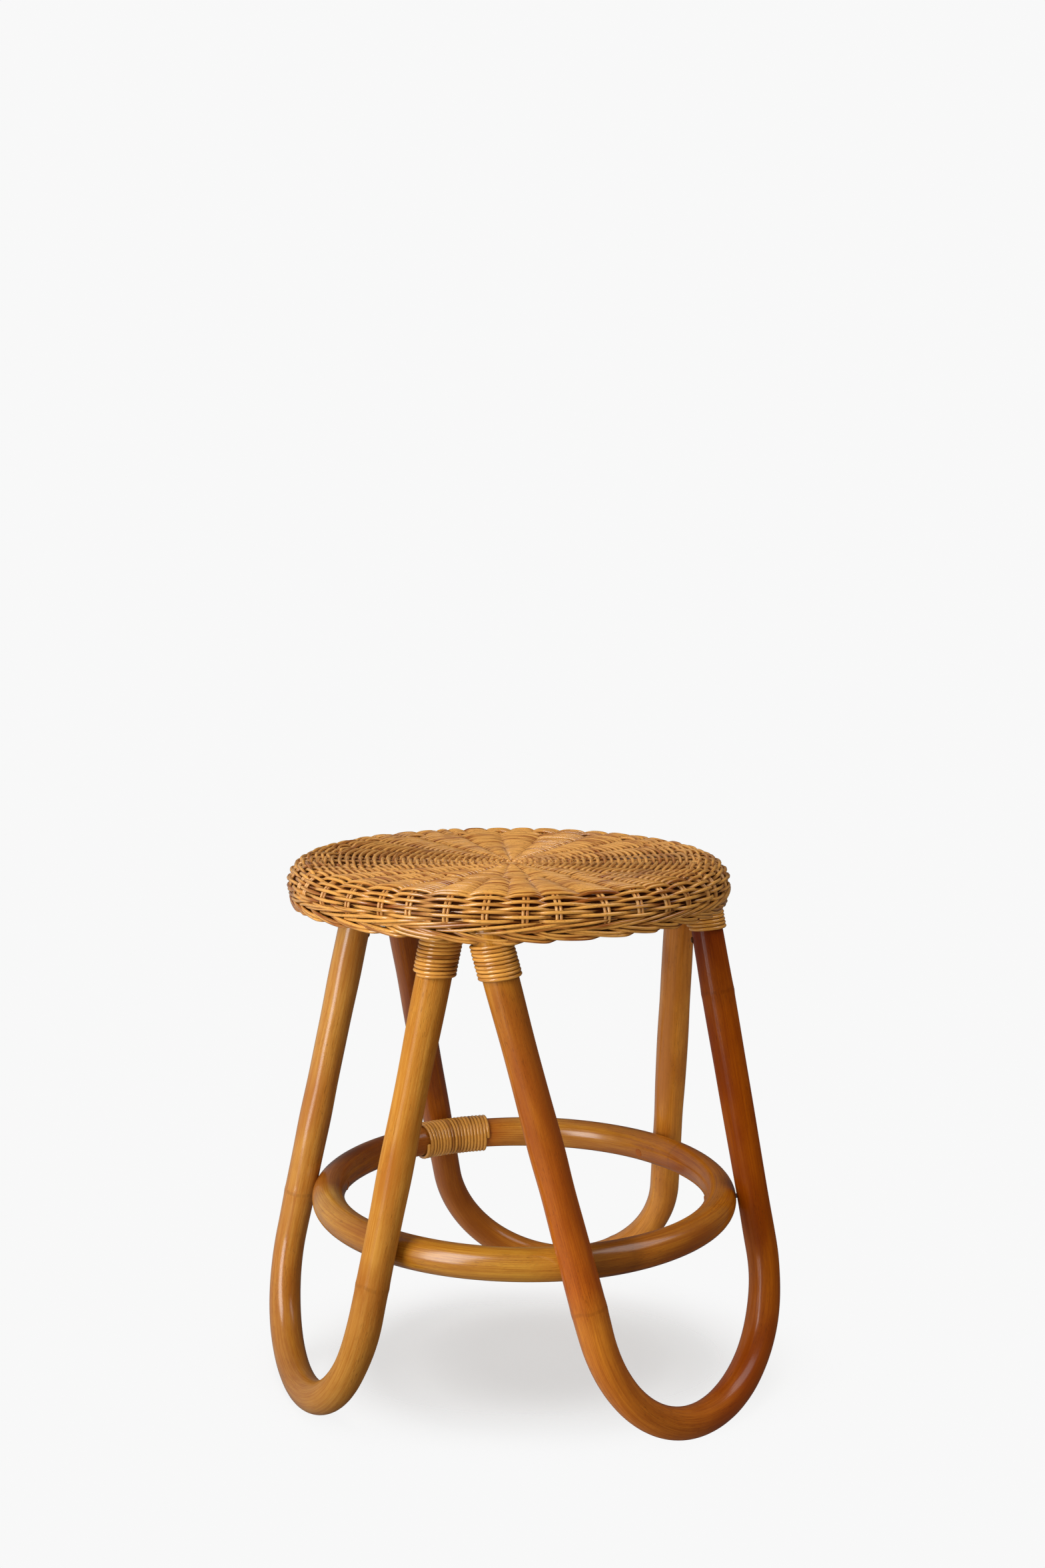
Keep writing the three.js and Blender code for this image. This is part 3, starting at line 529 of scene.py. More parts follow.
@dataclass(frozen=True)
class CaneFinish:
    """Round cane: own tone per rod, fine grain, greyed or darkened stretches, thin lacquer and painted shade
    in hollows.

    Attributes:
        name: The material's name.
        light, deep, grey: The colours of fresh, dark and worn cane.
        gloss: Coat weight.
        roughness: Mean roughness of the cane under the coat.
        grey_share: How much of the cane is worn.
        hollow_shade: How far painted shade, in the hollow colour, covers what lies deep between the rods.
        variation: How far the tone comes and goes.
        hollow: The colour of the painted shade on what lies deep between the rods.
        seed: Moves the pattern.
    """

    name: str
    light: Colour
    deep: Colour
    grey: Colour
    gloss: float = 0.4
    roughness: float = 0.42
    grey_share: float = 0.3
    hollow_shade: float = 0.9
    variation: float = 1.0
    hollow: Colour = srgb(62, 27, 8)
    seed: float = 0.0

    def build(self) -> bpy.types.Material:
        """Makes the material."""
        n = Nodes(self.name)
        shift = (self.seed, self.seed * 0.7, self.seed * 1.3)
        p = n.patterns(n.place(), CANE_PATTERNS, shift)
        patch = n.noise(n.object_place(), (16, 16, 16), 2.0, 0.5, shift)
        flecks = p.fleck.range(0.62, 0.72) * p.length.range(0.38, 0.58)
        pale = n.paleness()
        tone = (p.grain - 0.5) * 1.7 + (p.strand - 0.5) * 1.5 + (p.length - 0.5) * 3.0
        # Painted light and shade: the tone is lightened on crests and darkened in hollows.
        tone = tone * self.variation + (pale - 0.5) * 0.55 + 0.5
        colour = n.mix(tone.range(0.0, 1.0), self.deep, self.light)
        more = 0.4 * self.grey_share
        grey = patch.range(0.7 - more, 0.95 - more)
        colour = n.mix(grey * 0.7, colour, self.grey)
        dark = tuple(0.2 * c for c in self.deep)
        lines = 1 - p.grain.range(0.28, 0.42)
        colour = n.mix(lines * 0.5, colour, dark)
        colour = n.mix(flecks * 0.35, colour, dark)
        # Painted shade: what lies deep between the rods is darkened towards the hollow colour.
        colour = n.mix(pale.range(0.72, -0.1) * self.hollow_shade, colour, self.hollow)
        height = (p.grain - 0.5) * 0.8 + (p.strand - 0.5) * 0.6 + (p.knobble - 0.5) * 1.4 - flecks * 0.4
        rough = self.roughness + (p.strand - 0.5) * 0.3 + (p.length - 0.5) * 0.25 + grey * 0.12
        return n.finish({"Base Color": colour, "Roughness": rough, "Normal": n.bump(height, 0.0003, 1.0),
                         "Coat Weight": self.gloss, "Coat Roughness": 0.14, "Coat IOR": 1.62, **UNDERCOAT})


@dataclass(frozen=True)
class SteelFinish:
    """Plain or browned steel, with fine scratches and dull patches.

    Attributes:
        name: The material's name.
        colour, dull: The steel's colour, and that of its dull patches.
        roughness: Its mean roughness.
    """

    name: str
    colour: Colour
    dull: Colour
    roughness: float = 0.35

    def build(self) -> bpy.types.Material:
        """Makes the material."""
        n = Nodes(self.name)
        place = n.object_place()
        patch = n.noise(place, (900, 900, 900), 3.0, 0.6)
        scratch = n.noise(place, (5200, 600, 5200), 2.0, 0.5)
        colour = n.mix(patch.range(0.4, 0.7), self.colour, self.dull)
        rough = self.roughness + (patch - 0.5) * 0.4
        return n.finish({"Base Color": colour, "Roughness": rough, "Metallic": 1.0,
                         "Normal": n.bump(scratch, 0.00004, 0.6)})


class Finish(Enum):
    """The finishes of the stool, each built once."""

    # The colour ramps along the poles hold their own tone and painted light and shade: darker where a pole
    # lies in shade, paler where lit.
    RIGHT_POLE = PoleFinish(
        "red_brown_lacquer", srgb(186, 104, 28), srgb(158, 80, 17), srgb(142, 62, 12),
        stain_share=0.6, joints=(303, 883), seed=3.1, length=978,
        tone_and_shade=((0, (1.14, 1.75, 1.8)), (0.13, (1.1, 1.25, 1.05)), (0.2, (1.06, 1.04, 0.6)),
               (0.29, (1.06, 0.92, 0.5)), (0.32, (1.25, 1.5, 1.4)), (0.42, (1.25, 1.35, 1.1)),
               (0.52, (1, 0.86, 0.45)), (0.6, (0.84, 0.74, 0.3)), (0.67, (0.8, 0.7, 0.16)),
               (0.8, (0.86, 0.68, 0.11)), (0.885, (0.84, 0.64, 0.12)), (0.9, (0.76, 0.6, 0.16)),
               (0.96, (0.55, 0.29, 0.03)), (1, (0.44, 0.22, 0.02))),
        shine=((0, 0.7), (0.5, 0.8), (0.62, 0.6), (0.7, 0.25), (0.8, 0.2), (1, 0.32)))
    LEFT_POLE = PoleFinish(
        "honey_lacquer", srgb(214, 148, 62), srgb(190, 118, 38), srgb(176, 98, 28),
        stain_share=0.3, joints=(282, 662), seed=7.7, length=955,
        tone_and_shade=((0, (0.92, 1.0, 1.15)), (0.25, (0.92, 0.96, 1)), (0.36, (0.8, 0.74, 0.62)),
               (0.48, (0.58, 0.52, 0.4)), (0.62, (0.74, 0.76, 0.8)), (0.69, (0.7, 0.67, 0.7)),
               (0.72, (0.88, 0.92, 0.95)), (0.85, (0.98, 1.04, 1.02)), (1, (0.76, 0.7, 0.62))),
        shine=((0, 1), (0.45, 1), (0.6, 0.2), (1, 0.15)))
    BACK_POLE = PoleFinish(
        "pale_lacquer", srgb(192, 120, 44), srgb(164, 96, 30), srgb(150, 80, 22),
        stain_share=0.4, joints=(430,), seed=12.9, length=984,
        tone_and_shade=((0, (1.1, 0.92, 0.8)), (0.12, (1.74, 2.0, 1.9)), (0.32, (1.6, 1.8, 1.5)),
               (0.5, (1.15, 1.15, 0.8)), (0.75, (0.78, 0.58, 0.38)), (1, (0.7, 0.52, 0.36))))
    RING_POLE = PoleFinish(
        "ring_lacquer", srgb(210, 142, 52), srgb(178, 108, 32), srgb(158, 84, 22),
        stain_share=0.35, joints=(815,), seed=21.3, length=1053.7,
        tone_and_shade=((0, (0.78, 0.58, 0.45)), (0.12, (0.66, 0.5, 0.4)), (0.2, (0.64, 0.5, 0.4)),
               (0.225, (0.95, 1.12, 1.3)), (0.26, (0.85, 0.92, 0.85)), (0.303, (0.66, 0.62, 0.36)),
               (0.36, (0.84, 0.86, 0.65)), (0.433, (0.9, 1.0, 0.85)), (0.46, (0.88, 0.86, 0.65)),
               (0.495, (0.56, 0.46, 0.3)), (0.512, (0.48, 0.38, 0.25)), (0.525, (0.74, 0.6, 0.38)),
               (0.58, (0.86, 0.74, 0.4)), (0.683, (0.9, 0.7, 0.16)), (0.765, (0.74, 0.5, 0.1)),
               (0.776, (0.84, 0.64, 0.18)), (0.82, (0.9, 0.78, 0.4)), (0.86, (1, 0.98, 0.85)),
               (0.92, (1.16, 1.36, 1.7)), (0.965, (0.95, 0.72, 0.6)), (1, (0.78, 0.58, 0.45))))
    HIDDEN_POLE = PoleFinish(
        "plain_hidden_wood", srgb(205, 160, 100), srgb(170, 122, 68), srgb(158, 104, 52),
        stain_share=0.3, gloss=0.05, roughness=0.55, seed=33.3)
    WEAVE = CaneFinish(
        "woven_cane", srgb(226, 164, 86), srgb(148, 80, 30), srgb(172, 124, 86),
        gloss=0.7, grey_share=0.4, seed=5.0)
    SKIRT = CaneFinish(
        "skirt_cane", srgb(228, 164, 78), srgb(146, 78, 24), srgb(170, 118, 74),
        gloss=1.0, roughness=0.38, grey_share=0.3, seed=9.0)
    STAKE = CaneFinish(
        "stake_cane", srgb(230, 172, 98), srgb(174, 106, 42), srgb(176, 126, 80),
        gloss=0.8, roughness=0.34, grey_share=0.1, seed=27.0)
    # Painted shade: nearly black cane for the rounds behind the rows, standing for the shade there.
    SHADE_CANE = CaneFinish(
        "painted_shade_cane", srgb(104, 56, 22), srgb(62, 30, 10), srgb(80, 46, 22),
        gloss=0.0, roughness=0.7, grey_share=0.1, seed=19.0)
    WINDING = CaneFinish(
        "winding_cane", srgb(234, 166, 74), srgb(152, 86, 24), srgb(176, 120, 56),
        gloss=1.0, roughness=0.3, grey_share=0.1, hollow_shade=0.95, variation=0.6, seed=15.0)
    PLUG = PoleFinish(
        "plug_wood", srgb(204, 122, 48), srgb(176, 92, 28), srgb(150, 76, 24), gloss=0.3, seed=41.0)
    STEEL = SteelFinish("screw_steel", srgb(190, 188, 184), srgb(140, 136, 130))
    TACK = SteelFinish("browned_tack", srgb(122, 84, 54), srgb(66, 40, 24), 0.42)

    def material(self) -> bpy.types.Material:
        """The finish's material, made when it is first asked for."""
        return bpy.data.materials.get(self.value.name) or self.value.build()


class Slot(Enum):
    """Material slots, by name."""

    HONEY_POLE = "honey_pole"
    RED_POLE = "red_pole"
    HIDDEN_POLE = "hidden_pole"
    WEAVE = "weave"
    CANE = "cane"
    PLUG = "plug"
    STEEL = "steel"
    TACK = "tack"


def dress(piece: bpy.types.Object, finish: Finish, replaced: Sequence[str] = ()) -> None:
    """Gives a new piece its finish, lets it ride on the body, and hides the solids that it stands for."""
    piece.data.materials.append(finish.material())
    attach(piece, BODY)
    if replaced:
        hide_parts(*replaced)
    log.info("%s: %d faces, %s", piece.name, len(piece.data.polygons), finish.value.name)


# The stool's layout, which repeats that of its solids


@dataclass(frozen=True)
class LegSizes:
    """The sizes of one leg loop.

    Attributes:
        name: The loop's name.
        facing: Where it faces, in degrees.
        ring_spread, hoop_spread: Half the angle between its arms at the ring and at the hoop, in degrees.
        left_end, right_end: How far each arm's end lies outside the middle of the hoop's pole.
    """

    name: str
    facing: float
    ring_spread: float
    hoop_spread: float
    left_end: float
    right_end: float


@dataclass
class Arm:
    """One straight arm of a loop.

    Attributes:
        name: The arm's name, such as right_leftArm.
        point: A point of its axis, at the ring.
        up: Its direction, upwards.
    """

    name: str
    point: Array
    up: Array

    def at(self, height: float) -> Array:
        """The point of the axis at a height."""
        return self.point + self.up * (height - self.point[2]) / self.up[2]


@dataclass
class Layout:
    """Sizes that several pieces share, and the places that follow from them.

    Attributes:
        clearance: Between pieces that touch.
        pole_radius, hoop_pole_radius: Of the legs and the ring, and of the hidden hoop.
        foot_wear: Depth of the flat worn on each bend.
        seat_height, seat_radius: The cover's top, and its widest.
        shoulder_radius: Rounding between the top and the skirt.
        cover_depth: From the top to the border's foot.
        weave_thickness: From the cover's outside to the hoop.
        seat_shift: The cover's axis, from the ring's.
        hoop_offset, hoop_offset_facing: The hoop's axis, from the cover's, and its direction in degrees.
        saddle_depth: How far an arm's end reaches round the hoop.
        ring_inset: How far the middle of the ring's pole lies inside the skirt's widest.
        ring_height: Of the middle of the ring's pole.
        cane_radius, winding_steps: Of the solids' windings.
        bound_arm: The arm that lies against the ring's winding.
        legs: The three loops' sizes.
        shift: The ring's axis in the model's frame.
        hoop_plan: The hoop's axis, from the ring's.
        loops: Each loop's path, by its name.
    """

    clearance: float = 0.3
    pole_radius: float = 13.5
    hoop_pole_radius: float = 13.2
    foot_wear: float = 0.5
    seat_height: float = 449.0
    seat_radius: float = 183.0
    shoulder_radius: float = 19.7
    cover_depth: float = 36.5
    weave_thickness: float = 5.6
    seat_shift: tuple[float, float] = (-13.9, -0.9)
    hoop_offset: float = 10.8
    hoop_offset_facing: float = -22.0
    saddle_depth: float = 6.0
    ring_inset: float = 15.3
    ring_height: float = 157.3
    cane_radius: float = 1.3
    winding_steps: int = 10
    bound_arm: str = "back_rightArm"
    legs: tuple[LegSizes, ...] = (
        LegSizes("right", -41.5, 35.9, 56.3, 8.2, 1.2),
        LegSizes("back", 79.8, 32.5, 57.7, -3.4, 2.2),
        LegSizes("left", 203.7, 30.5, 48.8, -12.1, -16.7),
    )
    shift: Array = field(init=False)
    hoop_plan: Array = field(init=False)
    loops: dict[str, "LoopPath"] = field(init=False)

    def __post_init__(self) -> None:
        """Works out the loops about the ring's axis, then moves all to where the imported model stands."""
        low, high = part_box("ring_stretcher")
        self.shift = np.array([(low.x + high.x) / 2, (low.y + high.y) / 2, 0]) / MILLIMETRE
        facing = np.radians(self.hoop_offset_facing)
        offset = self.hoop_offset * np.array([np.cos(facing), np.sin(facing)])
        self.hoop_plan = np.array(self.seat_shift) + offset
        self.loops = {leg.name: LoopPath.solve(self, leg) for leg in self.legs}

    @property
    def ring_radius(self) -> float:
        """From the ring's axis to the middle of its pole."""
        return self.seat_radius - self.ring_inset

    @property
    def hoop_radius(self) -> float:
        """From the hoop's axis to the middle of its pole."""
        inside = self.weave_thickness + self.clearance + self.hoop_pole_radius
        return self.seat_radius - inside - self.hoop_offset

    @property
    def hoop_height(self) -> float:
        """The height of the middle of the hoop's pole."""
        return self.seat_height - self.weave_thickness - self.clearance - self.hoop_pole_radius

    @property
    def bend_height(self) -> float:
        """The height of the pole's middle at the foot of a bend."""
        return self.pole_radius - self.foot_wear

    @property
    def winding_reach(self) -> float:
        """From the pole's middle to the outside of a winding."""
        path = (self.pole_radius + self.clearance + self.cane_radius) / np.cos(np.pi / self.winding_steps)
        return path + self.cane_radius

    @property
    def seat_axis(self) -> Array:
        """The cover's axis in the model's frame, at floor level."""
        return self.shift + np.array([*self.seat_shift, 0])

    @property
    def hoop_axis(self) -> Array:
        """The hoop's axis in the model's frame, at floor level."""
        return self.shift + np.array([*self.hoop_plan, 0])

    def arms(self) -> list[Arm]:
        """All six arms."""
        return [arm for loop in self.loops.values() for arm in loop.arms]


@dataclass
class LoopPath:
    """The middle line of one leg loop, in the plane that its bend and both arms lie in.

    Attributes:
        name: The loop's name.
        foot: The plane's origin, below the bend's middle.
        along, rise: The plane's level and rising directions.
        centre: The bend's centre in the plane.
        radius: The bend's radius.
        touches: Where the bend meets the left and the right arm.
        tips: The arms' ends.
        arms: The arms, left then right.
    """

    name: str
    foot: Array
    along: Array
    rise: Array
    centre: Array
    radius: float
    touches: tuple[Array, Array]
    tips: tuple[Array, Array]
    arms: tuple[Arm, Arm]

    @property
    def normal(self) -> Array:
        """The plane's normal."""
        return np.cross(self.along, self.rise)

    @staticmethod
    def solve(layout: Layout, leg: LegSizes) -> "LoopPath":
        """Finds the plane through the ring's and the hoop's chords, and the bend that touches both arms.

        Args:
            layout: The stool's sizes.
            leg: This loop's sizes.

        Returns:
            The loop's path, in the model's frame.
        """
        facing = np.radians(leg.facing)
        out = np.array([np.cos(facing), np.sin(facing), 0])
        along = np.array([-out[1], out[0], 0])
        hoop_centre = np.array([*layout.hoop_plan, layout.hoop_height])
        plain = layout.ring_radius + 2 * layout.pole_radius + layout.clearance
        ring_chord = plain * np.cos(np.radians(leg.ring_spread))
        hoop_chord = layout.hoop_radius * np.cos(np.radians(leg.hoop_spread))
        slope = (hoop_centre @ out + hoop_chord - ring_chord) / (layout.hoop_height - layout.ring_height)
        rise = unit(out * slope + np.array([0, 0, 1]))
        foot = out * (ring_chord + slope * (layout.bend_height - layout.ring_height))
        foot[2] = layout.bend_height

        def in_plane(place: Array) -> Array:
            """The point of the model at a place of the plane."""
            return foot + along * place[0] + rise * place[1]

        def up_plane(height: float) -> float:
            """A height, measured up the plane."""
            return (height - layout.bend_height) / rise[2]

        sides, passes, directions = (-1, 1), [], []
        for side, end, label in zip(sides, (leg.left_end, leg.right_end), ("left", "right")):
            bound = f"{leg.name}_{label}Arm" == layout.bound_arm
            across = layout.winding_reach if bound else layout.pole_radius
            contact = layout.pole_radius + layout.clearance + across
            reach = layout.hoop_radius + end
            top = np.array([hoop_centre @ along + side * np.sqrt(reach**2 - hoop_chord**2),
                            up_plane(layout.hoop_height)])
            lean = 0.0
            for _ in range(6):
                level = layout.ring_radius + contact / np.cos(lean)
                passing = np.array([side * np.sqrt(level**2 - ring_chord**2), up_plane(layout.ring_height)])
                direction = unit(top - passing)
                upward = in_plane(direction) - foot
                outward = unit(in_plane(passing) * np.array([1, 1, 0]))
                lean = np.arctan2(abs(upward @ outward), upward[2])
            passes.append(passing)
            directions.append(direction)

        rows = []
        for side, passing, direction in zip(sides, passes, directions):
            inward = np.array([-direction[1], direction[0]]) * side
            rows.append([inward[0], inward[1] - 1, inward @ passing])
        system = np.array(rows)
        centre_along, radius = np.linalg.solve(system[:, :2], system[:, 2])
        centre = np.array([centre_along, radius])
        end_height = layout.hoop_height - layout.hoop_pole_radius + layout.saddle_depth
        touches, tips, arms = [], [], []
        for passing, direction, label in zip(passes, directions, ("left", "right")):
            touches.append(passing + direction * ((centre - passing) @ direction))
            tips.append(passing + direction * ((up_plane(end_height) - passing[1]) / direction[1]))
            arms.append(Arm(f"{leg.name}_{label}Arm", in_plane(passing) + layout.shift,
                            in_plane(direction) - foot))
        return LoopPath(leg.name, foot + layout.shift, along, rise, centre, float(radius), tuple(touches),
                        tuple(tips), tuple(arms))

    def points(self, step: float) -> Array:
        """Points of the middle line, from the left arm's end down, round the bend and up the right arm."""
        angles = [np.arctan2(*(touch - self.centre)[::-1]) for touch in self.touches]
        start = angles[0] - FULL_TURN if angles[0] > 0 else angles[0]
        bend = np.linspace(start, angles[1], int(self.radius * (angles[1] - start) / step))
        arc = self.centre + self.radius * np.stack([np.cos(bend), np.sin(bend)], -1)
        first = straight(self.tips[0], self.touches[0], step)
        last = straight(self.touches[1], self.tips[1], step)
        flat = np.concatenate([first[:-1], arc, last[1:]])
        return self.foot + flat[:, :1] * self.along + flat[:, 1:] * self.rise


def straight(start: Array, end: Array, step: float) -> Array:
    """Points on a line, about one step apart."""
    share = even_places(float(np.linalg.norm(end - start)), step)
    return start + (end - start) * (share / share[-1])[:, None]


# Poles


@dataclass
class Pole:
    """How a rattan pole departs from a true tube.

    Attributes:
        radius: Its mean radius.
        sides: Points round a section.
        step: Distance between sections. Not used.
        swelling: How far its radius comes and goes.
        flattening: How far its section is out of round.
        swelling_wave, turning_wave: Over what length it swells, and the oval of its section turns.
        ridge: Height of the low ridge at a joint.
    """

    radius: float
    sides: int = 40
    step: float = 4.0
    swelling: float = 0.28
    flattening: float = 0.22
    swelling_wave: float = 210.0
    turning_wave: float = 330.0
    ridge: float = 0.32

    def radii(self, run: Array, joints: Sequence[float], seed: int) -> Array:
        """The radius at each station and side.

        The formula is the mean radius, plus a slow wander along the pole, plus an oval whose turn wanders,
        plus a bell at each joint with a slight step in thickness behind it.
        """
        angle = FULL_TURN * np.arange(self.sides) / self.sides
        lump = self.swelling * slow_wander(run, self.swelling_wave, seed)
        turn = 2.0 * slow_wander(run, self.turning_wave, seed + 1)
        oval = self.flattening * np.cos(2 * (angle[None] - turn[:, None]))
        ridge = sum((self.ridge * bump(run - joint, 3.2) - 0.2 * smooth_step((run - joint) / 30) *
                     smooth_step((joint + 220 - run) / 160) for joint in joints), np.zeros_like(run))
        return self.radius + (lump + ridge)[:, None] + oval


@dataclass
class LegLoops:
    """The three leg loops, each one pole bent into a long U.

    Attributes:
        layout: The stool's sizes.
        finishes: Each loop's finish and slot, by its name.
    """

    layout: Layout
    finishes: dict[str, tuple[Finish, Slot]] = field(default_factory=lambda: {
        "right": (Finish.RIGHT_POLE, Slot.RED_POLE),
        "back": (Finish.BACK_POLE, Slot.HONEY_POLE),
        "left": (Finish.LEFT_POLE, Slot.HONEY_POLE),
    })

    def build(self) -> None:
        """Makes the loops."""
        for seed, (name, loop) in enumerate(self.layout.loops.items()):
            finish, slot = self.finishes[name]
            path = loop.points(4.0)
            run = run_along(path)
            log.info("%s loop: pole %.0f mm long", name, run[-1])
            pole = Pole(self.layout.pole_radius)
            radii = pole.radii(run, finish.value.joints, 11 * seed + 3)
            tubes = sweep(path, loop.normal, radii[None], pole.sides, end_rounding=0.25)
            tubes.points[..., 2] = np.maximum(tubes.points[..., 2], 0.0)
            dress(tube_object(f"{name}_loop_pole", tubes), finish, [f"{name}_leg_loop"])


@dataclass
class RoundPoles:
    """The ring between the arms, the hoop under the weave and the two bars.

    Attributes:
        layout: The stool's sizes.
        bar_radius, bar_spacing: Of the bars, and from one to the other.
        bar_drop: How far the bars lie below the weave at its rim.
        bar_facing: The bars' direction, in degrees.
        lap_facing: Where the ring's lap joint lies, in degrees.
    """

    layout: Layout
    bar_radius: float = 8.0
    bar_spacing: float = 104.0
    bar_drop: float = 3.0
    bar_facing: float = 78.0
    lap_facing: float = 114.0

    def build(self) -> None:
        """Makes the ring, the hoop and the bars."""
        lay = self.layout
        self._round("ring_pole_round", lay.shift, lay.ring_radius, lay.ring_height, lay.pole_radius,
                    Finish.RING_POLE, "ring_stretcher", 5, 200, np.radians(self.lap_facing))
        self._round("hoop_pole_round", lay.hoop_axis, lay.hoop_radius, lay.hoop_height, lay.hoop_pole_radius,
                    Finish.HIDDEN_POLE, "seat_hoop", 17, 120)
        self._bars()

    def _round(self, name: str, axis: Array, radius: float, height: float, pole_radius: float, finish: Finish,
               node: str, seed: int, steps: int, start: float = 0.0) -> None:
        """Makes one pole bent into a level circle, whose straightened coordinate starts at its lap joint."""
        angle = start + FULL_TURN * np.arange(steps) / steps
        outward = polar(1.0, angle, 0.0)
        centres = axis + polar(radius, angle, height)
        pole = Pole(pole_radius, swelling=0.0, flattening=0.0)
        radii = np.full((steps, pole.sides), pole_radius)
        radii += (0.12 * np.sin(3 * angle + seed) + 0.1 * np.sin(7 * angle + 2 * seed))[:, None]
        tubes = ring_sweep(centres, outward, radii, pole.sides)
        dress(tube_object(name, tubes, closed=True), finish, [node])

    def _bars(self) -> None:
        """Makes the two bars, which end in the hoop."""
        lay = self.layout
        facing = np.radians(self.bar_facing)
        along = np.array([np.cos(facing), np.sin(facing), 0])
        aside = np.array([-along[1], along[0], 0])
        height = lay.seat_height - lay.weave_thickness - self.bar_drop - self.bar_radius
        for seed, (name, side) in enumerate((("right", -1), ("left", 1))):
            offset = side * self.bar_spacing / 2
            half = np.sqrt(lay.hoop_radius**2 - offset**2)
            middle = lay.hoop_axis + aside * offset + np.array([0, 0, height])
            path = straight(middle - along * half, middle + along * half, 6.0)
            run = np.linspace(0, 2 * half, len(path))
            pole = Pole(self.bar_radius, sides=28, swelling=0.2, flattening=0.15)
            radii = pole.radii(run, (), 60 + seed)
            tubes = sweep(path, np.array([0, 0, 1.0]), radii[None], pole.sides, seed * 300.0)
            dress(tube_object(f"{name}_bar_pole", tubes), Finish.HIDDEN_POLE,
                  [f"{name}_cross_bar"])


# The woven cover


